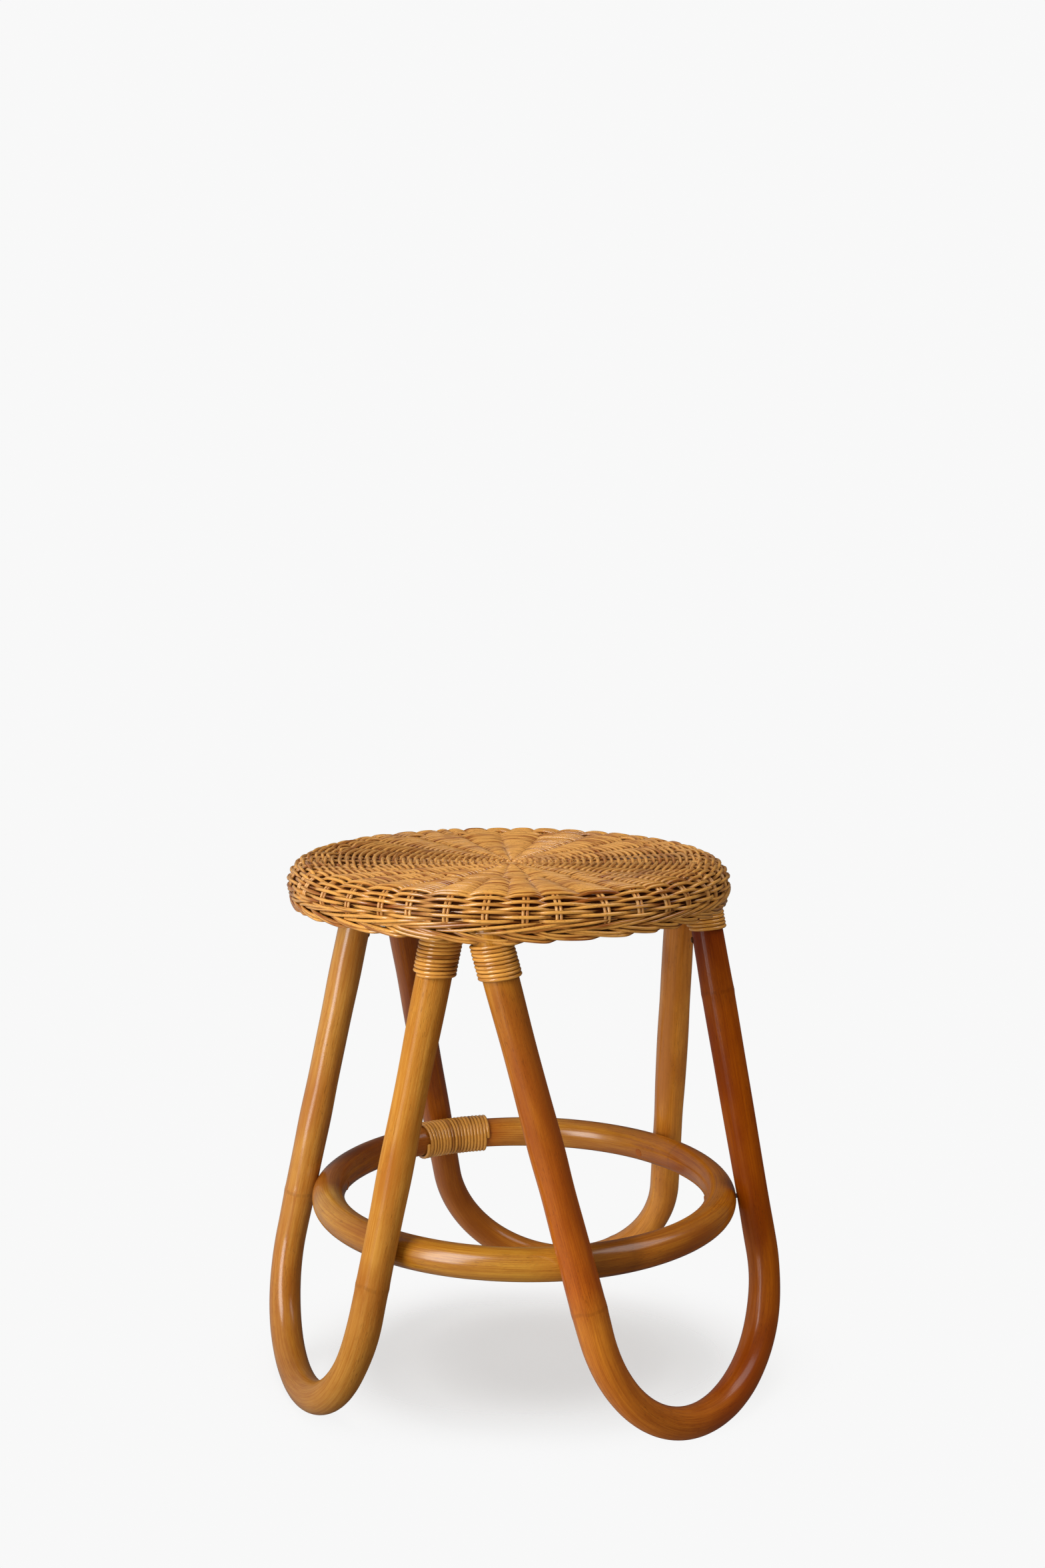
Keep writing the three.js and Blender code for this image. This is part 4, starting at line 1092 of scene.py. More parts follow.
@dataclass
class Weave:
    """The woven top, shoulder and skirt: a spiral of cane over and under radial stakes.

    Attributes:
        layout: The stool's sizes.
        stakes: Stakes at the hub. Each is joined by a new one further out.
        pitch: Distance between neighbouring rows.
        rod: Radius of the cane.
        lift: How far a row rises over a stake and dips under the next.
        first_radius: Where the spiral starts.
        near_split, far_split: Where new stakes start, at the front and at the back.
        sag: How far the middle lies below the rim.
        hub: The spiral's middle, from the seat's axis.
        crowd: How much closer the stakes lie at the back than at the front.
        uneven_angle: How unevenly the stakes lie, in shares of their distance.
        uneven_split: How unevenly the new ones start.
        split_softness: Over what length a row takes to the new ones.
        push_out, push_in: How far a row gives way, and over what length, past and before a new one's start.
        crest: How flat a row's crests are.
        row_waves, height_waves: How a row strays along the cover, and up and down.
        skirt_run: Meridian length of the spiral below the shoulder.
        backing_reach: How far the rounds behind the rows go below the shoulder.
        border_draw_in: How far the cover's foot is drawn in.
    """

    layout: Layout
    stakes: int = 21
    pitch: float = 2.87
    rod: float = 1.4
    lift: float = 2.3
    first_radius: float = 9.0
    near_split: float = 92.0
    far_split: float = 147.0
    sag: float = 2.6
    hub: tuple[float, float] = (1.5, -8.0)
    crowd: float = 0.09
    uneven_angle: float = 0.088
    uneven_split: float = 3.0
    split_softness: float = 5.0
    push_out: tuple[float, float] = (3.3, 9.0)
    push_in: tuple[float, float] = (1.4, 8.0)
    crest: float = 1.5
    row_waves: tuple[Wave, ...] = ((0.26, 31, 4), (0.18, 7.3, 5), (0.12, 2.3, 7))
    height_waves: tuple[Wave, ...] = ((0.22, 17, 8), (0.2, 4.1, 9))
    skirt_run: float = 3.4
    backing_reach: float = 14.0
    border_draw_in: float = 4.0

    def __post_init__(self) -> None:
        """Draws the stakes' uneven spacing."""
        rng = np.random.default_rng(20)
        count = 2 * self.stakes
        self._uneven = rng.normal(0, self.uneven_angle, count) * FULL_TURN / count
        self._split_uneven = rng.normal(0, self.uneven_split, self.stakes)

    @property
    def middle_drop(self) -> float:
        """From the cover's outside to the middle of the weave."""
        return self.rod + self.lift

    @property
    def flat_run(self) -> float:
        """Meridian length of the flat top."""
        return self.layout.seat_radius - self.layout.shoulder_radius

    @property
    def shoulder_run(self) -> float:
        """Meridian length of the rounded shoulder, at the middle of the weave."""
        return (self.layout.shoulder_radius - self.middle_drop) * QUARTER_TURN

    def angle_of(self, stake: Array) -> Array:
        """The angle at a stake coordinate, which counts both old and new stakes.

        The formula is an even spread, plus a cosine that crowds the stakes at the back, plus each stake's
        own random turn, carried smoothly from one stake to the next.
        """
        count = 2 * self.stakes
        even = FULL_TURN * stake / count
        near = np.mod(stake, count)
        ease = smooth_step(near - np.floor(near))
        here = np.floor(near).astype(int) % count
        turn = self._uneven[here] * (1 - ease) + self._uneven[(here + 1) % count] * ease
        return even + self.crowd * np.cos(even) + turn

    def split_at(self, stake: Array) -> Array:
        """The meridian place where the new stakes start, near in front and far at the back."""
        angle = self.angle_of(stake)
        front = smooth_step((-np.sin(angle + 0.05) - 0.25) / 0.35)
        own = self._split_uneven[(np.floor(np.mod(stake, 2 * self.stakes) / 2)).astype(int) % self.stakes]
        return self.far_split + (self.near_split - self.far_split) * front + own

    def surface(self, run: Array, angle: Array, depth: Array) -> Array:
        """A point of the cover.

        The meridian is level to the shoulder, then a quarter circle, then upright and slightly drawn in.
        The middle sags by a fourth-power bowl, and the hub's shift fades towards the shoulder.

        Args:
            run: Meridian distance from the hub.
            angle: Angle about the seat's axis.
            depth: Height over the weave's middle surface, outwards.

        Returns:
            Points, in the model's frame.
        """
        run, angle, depth = np.broadcast_arrays(run, angle, depth)
        lay = self.layout
        bend_radius = lay.shoulder_radius - self.middle_drop
        turn = np.clip((run - self.flat_run) / bend_radius, 0, QUARTER_TURN)
        down = np.clip(run - self.flat_run - self.shoulder_run, 0, None)
        reach = (bend_radius + depth) * np.sin(turn)
        radius = np.minimum(run, self.flat_run) + reach
        foot = lay.seat_height - lay.shoulder_radius
        height = foot + (bend_radius + depth) * np.cos(turn)
        full = lay.cover_depth - lay.shoulder_radius
        radius = radius - self.border_draw_in * down / full
        height = height - down
        inner = np.clip(1 - (run / self.flat_run) ** 2, 0, None)
        height = height - self.sag * inner**2
        points = polar(radius, angle, height)
        points[..., 0] += self.hub[0] * inner
        points[..., 1] += self.hub[1] * inner
        return points + lay.seat_axis

    def outward(self, run: Array, angle: Array) -> Array:
        """The cover's outward direction."""
        return unit(self.surface(run, angle, 1.0) - self.surface(run, angle, 0.0))

    def _wave(self, stake: Array, row: Array, run: Array) -> Array:
        """How high a row lies over the middle surface, from -1 to 1.

        Inside the split it is the cosine of half a turn for each old stake. Outside, it is the cosine of
        half a turn for each stake, old or new, whose sign changes from row to row by passing two stakes
        at once at the back. A hyperbolic tangent flattens the crests.
        """
        inner = np.cos(np.pi * stake / 2)
        slip_place, slip_width = 0.3, 0.035
        share = np.mod(row, 1.0)
        slip = np.floor(row) + smooth_step((share - slip_place) / slip_width)
        outer = np.cos(np.pi * (stake + slip))
        blend = smooth_step((run - self.split_at(stake)) / self.split_softness + 0.5)
        wave = inner * (1 - blend) + outer * blend
        return np.tanh(self.crest * wave) / np.tanh(self.crest)

    def _spread(self, stake: Array, run: Array) -> Array:
        """How far a row is pushed out or in beside the start of a new stake, which leaves a hole there."""
        beyond = run - self.split_at(stake)
        aside = np.abs(np.mod(stake / 2, 1.0) - 0.5) * 2
        (out, out_length), (inwards, in_length) = self.push_out, self.push_in
        push = np.where(beyond >= 0, out * np.exp(-np.clip(beyond, 0, None) / out_length),
                        -inwards * np.exp(np.clip(beyond, None, 0) / in_length))
        return push * bump(aside, 0.33)

    def weavers(self, first_turn: float, last_turn: float, per_stake: int) -> Tubes:
        """A stretch of the spiral, from one turn of it to another.

        Args:
            first_turn, last_turn: Turns of the spiral, counted from the hub.
            per_stake: Stations for each stake, old or new.

        Returns:
            One tube.
        """
        count = 2 * self.stakes
        turns = np.linspace(first_turn, last_turn, int((last_turn - first_turn) * count * per_stake) + 1)
        stake = turns * count
        run = self.first_radius + self.pitch * turns
        places = turns * 40
        run = run + wander(places, self.row_waves) * (1 + 0.7 * smooth_step((run - self.flat_run + 10) / 25))
        run = run + self._spread(stake, run)
        angle = self.angle_of(stake)
        wave = self._wave(stake, turns, run)
        hub_ease = smooth_step(run / 30) * 0.45 + 0.55
        uneven = wander(places, self.height_waves)
        own_lift = self.lift * (1 + 0.1 * slow_wander(places, 3.1, 14))
        depth = own_lift * wave * hub_ease + np.minimum(uneven, 0.2 - 0.3 * wave)
        path = self.surface(run, angle, depth)
        reference = self.outward(run, angle)
        thick = self.rod * (1 + 0.05 * slow_wander(turns * 20, 23, 6) + 0.24 * smooth_step(-wave))
        # Painted light on each row's crests over the stakes and painted shade in its dips under them, lighter
        # on the outer side.
        return sweep(path, reference[None], np.broadcast_to(thick[None, :, None], (1, len(turns), 8)), 8,
                     first_turn * 700, light=0.5 + 0.42 * wave[None], outer_light=0.3)

    def last_turn(self) -> float:
        """The turn at which the spiral reaches the border."""
        return (self.flat_run + self.shoulder_run + self.skirt_run - self.first_radius) / self.pitch

    def stake_rods(self) -> Tubes:
        """The stakes: pairs of rods that run out from the hub, over the shoulder and down the skirt.

        A new stake starts where the old ones have spread, and both kinds end under the border.
        """
        count = 2 * self.stakes
        which = np.arange(count)
        rng = np.random.default_rng(31)
        end = self.flat_run + self.shoulder_run + 6.5
        share = np.linspace(0, 1, 60)
        start = np.where(which % 2 == 0, 4.0, self.split_at(which + 0.0) - 2.0)
        run = start[:, None] + (end - start[:, None]) * share
        tilt = rng.normal(0, 0.012, count)[:, None] * smooth_step((run - self.flat_run) / self.shoulder_run)
        tubes = []
        for side in (-1, 1):
            lean = self.angle_of(which + 0.0)[:, None] + tilt
            gap = side * (1.45 + rng.uniform(0, 0.35, count)[:, None]) / np.maximum(run, 6)
            path = self.surface(run, lean + gap, -0.1 + 0.15 * rng.normal(0, 1, count)[:, None])
            # Painted light and shade: the stakes' outer sides are painted lighter than their inner sides.
            tubes.append(sweep(path, self.outward(run, lean + gap), self.rod * 0.94, 7,
                               rng.uniform(0, 5000, count), light=0.55, outer_light=0.3))
        return tubes[0].joined(tubes[1])

    def backing_rounds(self) -> Tubes:
        """Level rounds of thin dark cane behind the shoulder's and skirt's rows, which close their gaps with
        painted shade.
        """
        first = self.flat_run - 16
        last = self.flat_run + self.shoulder_run + self.backing_reach
        run = np.arange(first, last, self.pitch * 0.8)[:, None]
        turn = np.linspace(0, FULL_TURN, 169)
        run = run + 0.3 * slow_wander(turn * 20 + 37 * run, 19, 12)
        path = self.surface(run, turn[None], -1.7)
        # Painted shade: these rounds take nearly all of the hollow colour.
        return sweep(path, self.outward(run, turn[None]), 1.35, 5, 900.0 * np.arange(len(run)), light=0.05)

    def build(self) -> None:
        """Makes the woven top, the skirt and the stakes."""
        last = self.last_turn()
        middle = (self.near_split - self.first_radius) / self.pitch
        rim = (self.flat_run - 3 - self.first_radius) / self.pitch
        inner = tube_object("top_weavers_inner", self.weavers(0, middle, 6))
        outer = tube_object("top_weavers_outer", self.weavers(middle, rim, 8))
        skirt = tube_object("skirt_weavers", self.weavers(rim, last, 9))
        dress(inner, Finish.WEAVE, ["seat_top_weave"])
        dress(outer, Finish.WEAVE)
        dress(skirt, Finish.SKIRT, ["skirt_weave"])
        dress(tube_object("stakes", self.stake_rods()), Finish.STAKE)
        dress(tube_object("backing_rounds", self.backing_rounds()), Finish.SHADE_CANE)


@dataclass
class Border:
    """The plaited edge: the stakes' ends laid along the skirt's foot in two slanting courses.

    Attributes:
        layout: The stool's sizes.
        weave: The woven cover.
        rod: Radius of the cane.
        upper_top, upper_foot: Heights that the upper course lies between.
        lower_top, lower_foot: The same for the lower course.
        upper_length, lower_length: How far the rods of each course reach, in stakes.
        sag, sag_facing, sag_width: How far the edge hangs lower at one place, and where, in degrees.
    """

    layout: Layout
    weave: Weave
    rod: float = 1.35
    upper_top: float = 426.8
    upper_foot: float = 420.3
    lower_top: float = 421.8
    lower_foot: float = 414.2
    upper_length: float = 2.7
    lower_length: float = 2.15
    sag: float = 2.2
    sag_facing: float = 267.0
    sag_width: float = 13.0

    def _outside(self, height: Array) -> Array:
        """The cover's outer radius at a height on the skirt."""
        lay = self.layout
        full = lay.cover_depth - lay.shoulder_radius
        down = np.clip(lay.seat_height - lay.shoulder_radius - height, 0, full)
        return lay.seat_radius - self.weave.border_draw_in * down / full

    def _course(self, start: float, length: float, top: float, foot: float, falling: bool, depth: Callable,
                tuck: float, offset: float, seed: int) -> Tubes:
        """One rod of each stake, laid along the skirt.

        The angle goes evenly from the start to the start plus the length, in stakes. The height goes
        smoothly from top to foot, or from foot to top, and the radius is the cover's less the depth.

        Args:
            start: First end, in stakes from the rod's own stake.
            length: How far it reaches, in stakes.
            top, foot: Its highest and lowest height.
            falling: It falls as the angle grows.
            depth: How deep its middle lies, at each share of its length.
            tuck: How far its last end rises as it goes in.
            offset: Its height over the course's own.
            seed: Fixes its unevenness.

        Returns:
            The rods.
        """
        count = 2 * self.weave.stakes
        rng = np.random.default_rng(seed)
        share = np.linspace(0, 1, 36)[None]
        own = rng.normal(0, 1, (count, 1))
        stake = np.arange(count)[:, None] + start + length * share + 0.06 * own
        angle = self.weave.angle_of(stake)
        if falling:
            level = top - (top - foot) * np.sin(QUARTER_TURN * np.clip(share / 0.8, 0, 1))
        else:
            level = foot + (top - foot) * smooth_step(share * 0.9 + 0.05)
        level = level + offset + 0.25 * rng.normal(0, 1, (count, 1))
        level = level + tuck * smooth_step((share - 0.74) / 0.26)
        beside, width = np.mod(angle - np.radians(self.sag_facing), FULL_TURN), np.radians(self.sag_width)
        sag = self.sag * (bump(beside, width) + bump(FULL_TURN - beside, width))
        level = level - sag * smooth_step((424 - level) / 8)
        radius = self._outside(level) - depth(share) + 0.15 * own
        path = self.layout.seat_axis + polar(radius, angle, level)
        outward = polar(1.0, angle, 0.0)
        taper = 1 - 0.45 * smooth_step((share - 0.86) / 0.14) - 0.3 * smooth_step((0.1 - share) / 0.1)
        thick = (self.rod * (1 + 0.04 * own) * taper)[:, :, None] * np.ones((1, 1, 7))
        # Painted shade: rods that lie deeper are darker, beside each rod's own random tone; outer sides get
        # painted light.
        pale = 0.75 - 0.16 * (depth(share) - 1.3) + rng.uniform(-0.2, 0.2, (count, 1))
        return sweep(path, outward, thick, 7, rng.uniform(0, 6000, count), light=pale, outer_light=0.2)

    def build(self) -> None:
        """Makes the border."""

        def upper_depth(share: Array) -> Array:
            """Comes out from under the row above at the right, and goes in under the lower course."""
            return 1.35 + 2.6 * smooth_step((share - 0.72) / 0.28) + 2.2 * smooth_step((0.3 - share) / 0.3)

        def lower_depth(share: Array) -> Array:
            """Comes out from under its neighbour at the left, and curls in under the edge at the right."""
            return 1.2 + 2.6 * smooth_step((0.32 - share) / 0.32) + 5.6 * smooth_step((share - 0.68) / 0.3)

        upper = (self.upper_length, self.upper_top, self.upper_foot, False)
        lower = (self.lower_length, self.lower_top, self.lower_foot, True)
        parts = [
            self._course(-2.3, *upper, upper_depth, 0.0, 0.0, 51),
            self._course(-2.0, *upper, lambda share: upper_depth(share) + 2.1, 0.0, 0.9, 52),
            self._course(0.0, *lower, lower_depth, 1.0, 1.9, 53),
            self._course(0.05, *lower, lambda share: lower_depth(share) + 0.1, 2.4, -0.7, 54),
            self._course(0.1, *lower, lambda share: lower_depth(share) + 2.2, 2.0, 0.6, 55),
        ]
        rods = parts[0]
        for part in parts[1:]:
            rods = rods.joined(part)
        dress(tube_object("border_rods", rods), Finish.SKIRT, ["border_plait"])


# Windings and fasteners


@dataclass
class Windings:
    """Cane wound about the arms' tops and about the ring's joint.

    Attributes:
        layout: The stool's sizes.
        cane, ring_cane: Radius of the cane on the arms and on the ring.
        stand_off: Between the pole's mean radius and the cane.
        leg_pitch, ring_pitch: From one turn to the next.
        leg_turns, ring_turns: How many turns there are.
        extra_turns: More of them, by the arm's name.
        leg_top: Height at which the arms' windings start.
        level_share: How far their turns are laid level.
        ring_facing: Where the middle of the ring's winding lies, in degrees.
        steps, sides: Stations for each turn, and points round a section.
    """

    layout: Layout
    cane: float = 1.48
    ring_cane: float = 1.66
    stand_off: float = 0.25
    leg_pitch: float = 3.04
    leg_turns: float = 9.0
    extra_turns: dict[str, float] = field(default_factory=lambda: {"left_rightArm": 1.6})
    leg_top: float = 411.6
    level_share: float = 0.6
    ring_pitch: float = 3.45
    ring_turns: float = 19.0
    ring_facing: float = 114.0
    steps: int = 36
    sides: int = 10

    def _helix(self, centre: Callable[[Array], Array], inward: Callable[[Array], Array], tangent: Callable,
               pitch: float, turns: float, seed: int, cane: float, level: float = 0.0) -> Tubes:
        """Cane round a pole.

        A point is the pole's middle at a distance along it, plus the winding's radius times
        (cos a inward + sin a sideways), where a grows by a full turn for each pitch. Each turn
        is then slid along the pole by a share, called level, of what would lay it level.
        """
        turn = np.linspace(0, turns, int(turns * self.steps) + 1)
        along = pitch * turn + wander(turn, ((0.08, 1.7, seed), (0.03, 0.5, seed + 1)))
        angle = FULL_TURN * turn
        first, way = inward(along), tangent(along)
        side = np.cross(way, first)
        radius = self.layout.pole_radius + self.stand_off + cane + 0.06 * slow_wander(turn, 2.3, seed + 2)
        ends = np.minimum(turn, turns - turn)
        radius = radius - 1.0 * smooth_step((0.12 - ends) / 0.12)
        outward = np.cos(angle)[:, None] * first + np.sin(angle)[:, None] * side
        path = centre(along) + radius[:, None] * outward
        if level:
            path = path - level * way * (radius * outward[:, 2] / way[:, 2])[:, None]
        thick = cane * (1 + 0.05 * slow_wander(turn, 1.3, seed + 3))
        # Each turn's tone comes and goes at random; its outer side gets painted light and its side against
        # the pole painted shade.
        light = 0.5 + 0.25 * slow_wander(turn, 1.1, seed + 4)
        return sweep(path, outward[None], np.broadcast_to(thick[None, :, None], (1, len(turn), self.sides)),
                     self.sides, seed * 911.0, light=light, outer_light=0.5)

    def build(self) -> None:
        """Makes all seven windings."""
        lay = self.layout
        for seed, arm in enumerate(lay.arms()):
            start = arm.at(self.leg_top - self.cane)
            inward = (lay.seat_axis - start) * np.array([1, 1, 0])
            inward = unit(inward - arm.up * (inward @ arm.up))
            down = -arm.up
            turns = self.leg_turns + self.extra_turns.get(arm.name, 0.0)
            tubes = self._helix(lambda s: start + s[:, None] * down,
                                lambda s: np.broadcast_to(inward, (len(s), 3)),
                                lambda s: np.broadcast_to(down, (len(s), 3)),
                                self.leg_pitch, turns, 10 * seed + 1, self.cane, self.level_share)
            dress(tube_object(f"{arm.name}_wound_cane", tubes), Finish.WINDING,
                  [f"{arm.name}_winding"])
        half = self.ring_pitch * self.ring_turns / 2

        def angle(s: Array) -> Array:
            """The ring's angle at a distance along the winding."""
            return np.radians(self.ring_facing) + (s - half) / lay.ring_radius

        tubes = self._helix(lambda s: lay.shift + polar(lay.ring_radius, angle(s), lay.ring_height),
                            lambda s: -polar(1.0, angle(s), 0.0),
                            lambda s: polar(1.0, angle(s) + QUARTER_TURN, 0.0),
                            self.ring_pitch, self.ring_turns, 91, self.ring_cane)
        dress(tube_object("ring_wound_cane", tubes), Finish.WINDING, ["ring_scarf_winding"])


@dataclass
class Fasteners:
    """Tacks and plugs as rounded pieces. The hidden screws and nails keep their solids, dressed in steel.

    Attributes:
        layout: The stool's sizes.
        tack, plug: The radius, the dome's rise and the depth of a tack's head and of a plug.
    """

    layout: Layout
    tack: tuple[float, float, float] = (2.6, 1.35, 4.0)
    plug: tuple[float, float, float] = (3.9, 0.6, 3.0)

    def _button(self, name: str, radius: float, rise: float, depth: float, centre: Array,
                direction: Array) -> bpy.types.Object:
        """A short round stud with a domed face: a profile turned about a direction.

        The dome's profile is a quarter ellipse of the radius and the rise.

        Args:
            name: The piece's name.
            radius: The stud's radius.
            rise: The dome's height over the rim.
            depth: How deep the stud goes behind its rim.
            centre: The middle of its rim.
            direction: The way that the stud goes in.
        """
        turn = np.linspace(0, QUARTER_TURN, 7)
        profile = np.concatenate([
            np.stack([np.full(2, radius) * np.array([0.02, 0.9]), np.full(2, -depth)], -1),
            np.stack([radius * np.cos(turn[:-1]), rise * np.sin(turn[:-1])], -1),
            np.array([[radius * 0.02, rise]]),
        ])
        around = circle(24)
        away = unit(-direction)
        first = unit(np.cross(away, np.array([0, 0, 1.0])))
        second = np.cross(away, first)
        radial = around[:, :1] * first + around[:, 1:] * second
        points = centre + profile[:, None, :1] * radial + profile[:, None, 1:] * away
        across, along = profile[:, None, 0], profile[:, None, 1]
        places = np.stack(np.broadcast_arrays(across * around[:, 0], across * around[:, 1], along), -1)
        return tube_object(name, Tubes(points[None], places[None], np.full(points[None].shape[:3], 0.5)))

    def build(self) -> None:
        """Makes the tacks and plugs and dresses what is hidden."""
        lay = self.layout
        for arm in lay.arms():
            low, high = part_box(f"{arm.name}_tack")
            middle = np.array((low + high) / 2) / MILLIMETRE
            near = arm.at(float(middle[2]))
            direction = near - middle
            direction = unit(direction - arm.up * (direction @ arm.up))
            rim = near - direction * (lay.pole_radius + 0.2)
            stud = self._button(f"{arm.name}_tack_head", *self.tack, rim, direction)
            dress(stud, Finish.TACK, [f"{arm.name}_tack"])
            plug = f"{arm.name}_ring_plug"
            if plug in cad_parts:
                angle = np.arctan2(*(arm.point - lay.shift)[1::-1])
                middle = lay.shift + polar(lay.ring_radius, angle, lay.ring_height)
                toward = unit(arm.point + arm.up * ((middle - arm.point) @ arm.up) - middle)
                face = middle - toward * (lay.pole_radius - 0.1)
                stud = self._button(f"{plug}_face", *self.plug, face, toward)
                dress(stud, Finish.PLUG, [plug])
        for name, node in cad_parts.items():
            if name.endswith(("screw", "nail")):
                node.data.materials.clear()
                node.data.materials.append(Finish.STEEL.material())


# Floor, light and camera


@dataclass
class Studio:
    """A plain pale floor, soft light from the upper left, and the photograph's camera.

    Attributes:
        layout: The stool's sizes.
        image_width, half_height: The photograph's width and half its height, in pixels.
        focal_pixels, horizon_row: The camera's focal length, and the row that its axis meets, in pixels.
        camera_from_seat, camera_height: Where it stands, from the seat's axis and over the floor.
        pitch, roll: How far it looks down and leans, in radians.
        sensor: Its width.
        page_grey: Of the backdrop.
        ambient, ambient_lean: The light from all round, and how much more of it comes from the left.
        shade_tone: The colour of that light at the right.
        pale_side, dark_side: What gloss mirrors, at the left and at the right.
        key_power, key_place, key_size: Of the tall softbox.
        fill_power, fill_place, fill_size: Of the small softbox.
        floor_strength, floor_place, floor_spread: Of the lamp that makes the floor's shadow.
        floor_albedo, floor_radius: The floor's own grey, and how far it reaches.
        shadow_share, shadow_shift: How much of the shadow shows, and where its oval lies.
        shadow_stretch: How much wider the oval is than deep.
        shadow_reach: Where its fading starts and ends.
    """

    layout: Layout
    image_width: float = 1568.0
    focal_pixels: float = 2711.3
    horizon_row: float = 1448.51
    half_height: float = 1176.0
    camera_from_seat: tuple[float, float] = (11.47, -1474.87)
    camera_height: float = 682.35
    pitch: float = 0.2178
    roll: float = 0.0042
    sensor: float = 36.0
    page_grey: float = 0.94
    ambient: float = 0.46
    ambient_lean: float = 0.5
    shade_tone: Colour = (1.0, 0.89, 0.72)
    pale_side: float = 0.42
    dark_side: float = 0.05
    key_power: float = 36.0
    key_place: tuple[float, float, float] = (-1180.0, -1360.0, 1060.0)
    key_size: tuple[float, float] = (760.0, 2300.0)
    fill_power: float = 7.0
    fill_place: tuple[float, float, float] = (1140.0, -150.0, 1640.0)
    fill_size: tuple[float, float] = (1000.0, 1000.0)
    floor_strength: float = 1.59
    floor_place: tuple[float, float, float] = (-240.0, -100.0, 1980.0)
    floor_spread: float = 28.0
    floor_albedo: float = 0.95
    shadow_share: float = 0.45
    shadow_shift: tuple[float, float] = (15.0, 15.0)
    shadow_stretch: float = 1.5
    shadow_reach: tuple[float, float] = (20.0, 225.0)
    floor_radius: float = 2600.0

    def build(self) -> None:
        """Makes the floor, the world, the lamps and the camera."""
        self._world()
        self._lamps(self._floor())
        self._camera()
        settings = bpy.context.scene.view_settings
        settings.view_transform = "Standard"

    def _camera(self) -> None:
        """Places the camera as found from the photograph."""
        data = bpy.data.cameras.new("photograph_camera")
        data.sensor_fit = "HORIZONTAL"
        data.sensor_width = self.sensor
        data.lens = self.focal_pixels / self.image_width * self.sensor
        data.shift_y = (self.horizon_row - self.half_height) / self.image_width
        data.clip_start, data.clip_end = 0.05, 50
        camera = bpy.data.objects.new("photograph_camera", data)
        bpy.context.scene.collection.objects.link(camera)
        x, y = self.layout.seat_axis[:2] + np.array(self.camera_from_seat)
        look = Matrix.Rotation(QUARTER_TURN - self.pitch, 4, "X") @ Matrix.Rotation(self.roll, 4, "Z")
        camera.matrix_world = Matrix.Translation(Vector((x, y, self.camera_height)) * MILLIMETRE) @ look
        bpy.context.scene.camera = camera

    def _world(self) -> None:
        """Light from all round, more of it from the left, with the page's pale grey where the camera sees it.

        Gloss mirrors a paler room on the left than on the right.
        """
        world = bpy.data.worlds.new("studio_world")
        bpy.context.scene.world = world
        world.use_nodes = True
        n = Nodes("studio_world", world.node_tree)

        def even(strength: float, tone: Colour = (1, 1, 1)) -> Socket:
            """Light of one strength."""
            return n.add("ShaderNodeBackground", {}, {"Color": (*tone, 1), "Strength": strength})

        def mixed(factor: Socket, first: Socket, second: Socket) -> Socket:
            """first where factor is 0 and second where it is 1."""
            return n.add("ShaderNodeMixShader", {}, {0: factor, 1: first, 2: second})

        rightwards = n.part(n.object_place(), "X") * 0.5 + 0.5
        page = even(self.page_grey)
        light = mixed(rightwards, even(self.ambient * (1 + self.ambient_lean)),
                      even(self.ambient * (1 - self.ambient_lean), self.shade_tone))
        gloss = mixed(rightwards.range(0.0, 0.6), even(self.pale_side), even(self.dark_side))
        output = n.tree.nodes.new("ShaderNodeOutputWorld")
        lit = mixed(n.seen(), mixed(n.ray("Glossy"), light, gloss), page)
        n.tree.links.new(lit.source, output.inputs["Surface"])

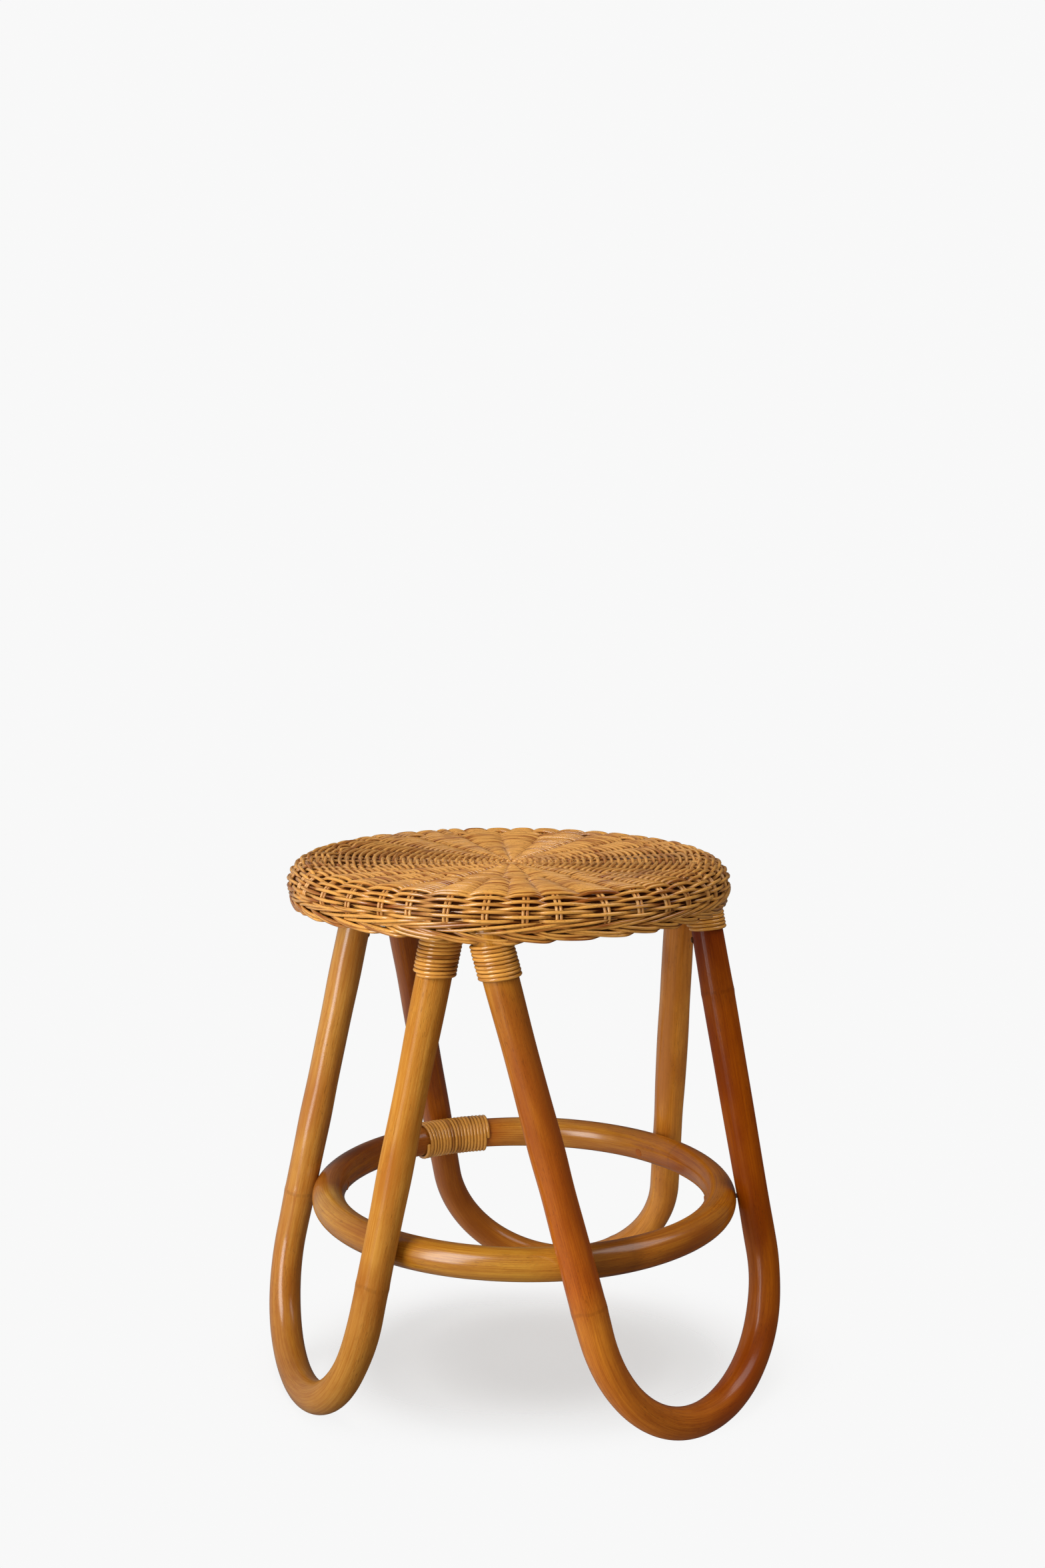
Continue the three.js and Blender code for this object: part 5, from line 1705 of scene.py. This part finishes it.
    def _floor(self) -> bpy.types.Object:
        """A round floor whose shadow is laid thinly over the page, in a soft oval under the stool."""
        n = Nodes("studio_floor")
        place = n.object_place()
        middle = (self.layout.seat_axis + np.array([*self.shadow_shift, 0])) * MILLIMETRE
        scale = np.array([1 / self.shadow_stretch, 1, 1])
        centred = n.stretched(place, tuple(scale), tuple(-middle * scale))
        away = n.add("ShaderNodeVectorMath", {"operation": "LENGTH"}, {0: centred}, "Value")
        paint = n.add("ShaderNodeBsdfDiffuse", {}, {"Color": (self.floor_albedo,) * 3 + (1,)})
        clear = n.add("ShaderNodeBsdfTransparent", {}, {"Color": (1, 1, 1, 1)})
        inner, outer = (reach * MILLIMETRE for reach in self.shadow_reach)
        fade = away.range(inner, outer, 1.0, 0.0)
        share = n.seen() * self.shadow_share * fade * fade * (3 - fade * 2)
        n.end(n.add("ShaderNodeMixShader", {}, {0: share, 1: clear, 2: paint}))
        angle = FULL_TURN * np.arange(96) / 96
        rim = polar(self.floor_radius, angle, -0.2) + self.layout.seat_axis
        mesh = bpy.data.meshes.new("studio_floor")
        mesh.from_pydata((rim * MILLIMETRE).tolist(), [], [list(range(96))])
        mesh.materials.append(n.material)
        floor = bpy.data.objects.new("studio_floor", mesh)
        bpy.context.scene.collection.objects.link(floor)
        return floor

    def _lamp(self, name: str, kind: str, power: float, size: tuple[float, ...], place: Sequence[float],
              floor: bpy.types.Object, on_floor: bool) -> None:
        """One soft lamp turned to the stool, which lights either the floor alone or all but the floor.

        Args:
            name: The lamp's name.
            kind: SUN or AREA.
            power: Its energy.
            size: A sun's apparent width in degrees, or a softbox's width and height in millimetres.
            place: Where it stands from the middle of the stool, in millimetres.
            floor: The floor.
            on_floor: Whether it lights the floor, rather than the stool.
        """
        data = bpy.data.lights.new(name, kind)
        data.energy = power
        if kind == "SUN":
            data.angle = np.radians(size[0])
        else:
            data.shape = "RECTANGLE"
            data.size, data.size_y = (side * MILLIMETRE for side in size)
        lamp = bpy.data.objects.new(name, data)
        bpy.context.scene.collection.objects.link(lamp)
        turned = Vector(place).to_track_quat("Z", "Y").to_matrix().to_4x4()
        lamp.matrix_world = Matrix.Translation(Vector(place) * MILLIMETRE) @ turned
        lamp.visible_camera = False
        lit = bpy.data.collections.new(f"{name}_lights")
        lit.objects.link(floor)
        lit.collection_objects[0].light_linking.link_state = "INCLUDE" if on_floor else "EXCLUDE"
        lamp.light_linking.receiver_collection = lit

    def _lamps(self, floor: bpy.types.Object) -> None:
        """A tall softbox at the left in front and a small one high at the right for the stool.

        One overhead makes the floor's shadow.
        """
        self._lamp("tall_softbox", "AREA", self.key_power, self.key_size, self.key_place, floor, False)
        self._lamp("fill_softbox", "AREA", self.fill_power, self.fill_size, self.fill_place, floor, False)
        self._lamp("overhead_softbox", "SUN", self.floor_strength, (self.floor_spread,), self.floor_place,
                   floor, True)


def main() -> None:
    """Builds the stool over its solids, then the studio round it."""
    logging.basicConfig(level=logging.INFO, format="%(name)s: %(message)s")
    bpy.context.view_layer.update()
    layout = Layout()
    weave = Weave(layout)
    for assembly in (LegLoops(layout), RoundPoles(layout), weave, Border(layout, weave), Windings(layout),
                     Fasteners(layout), Studio(layout)):
        assembly.build()


if __name__ == "__main__":
    main()
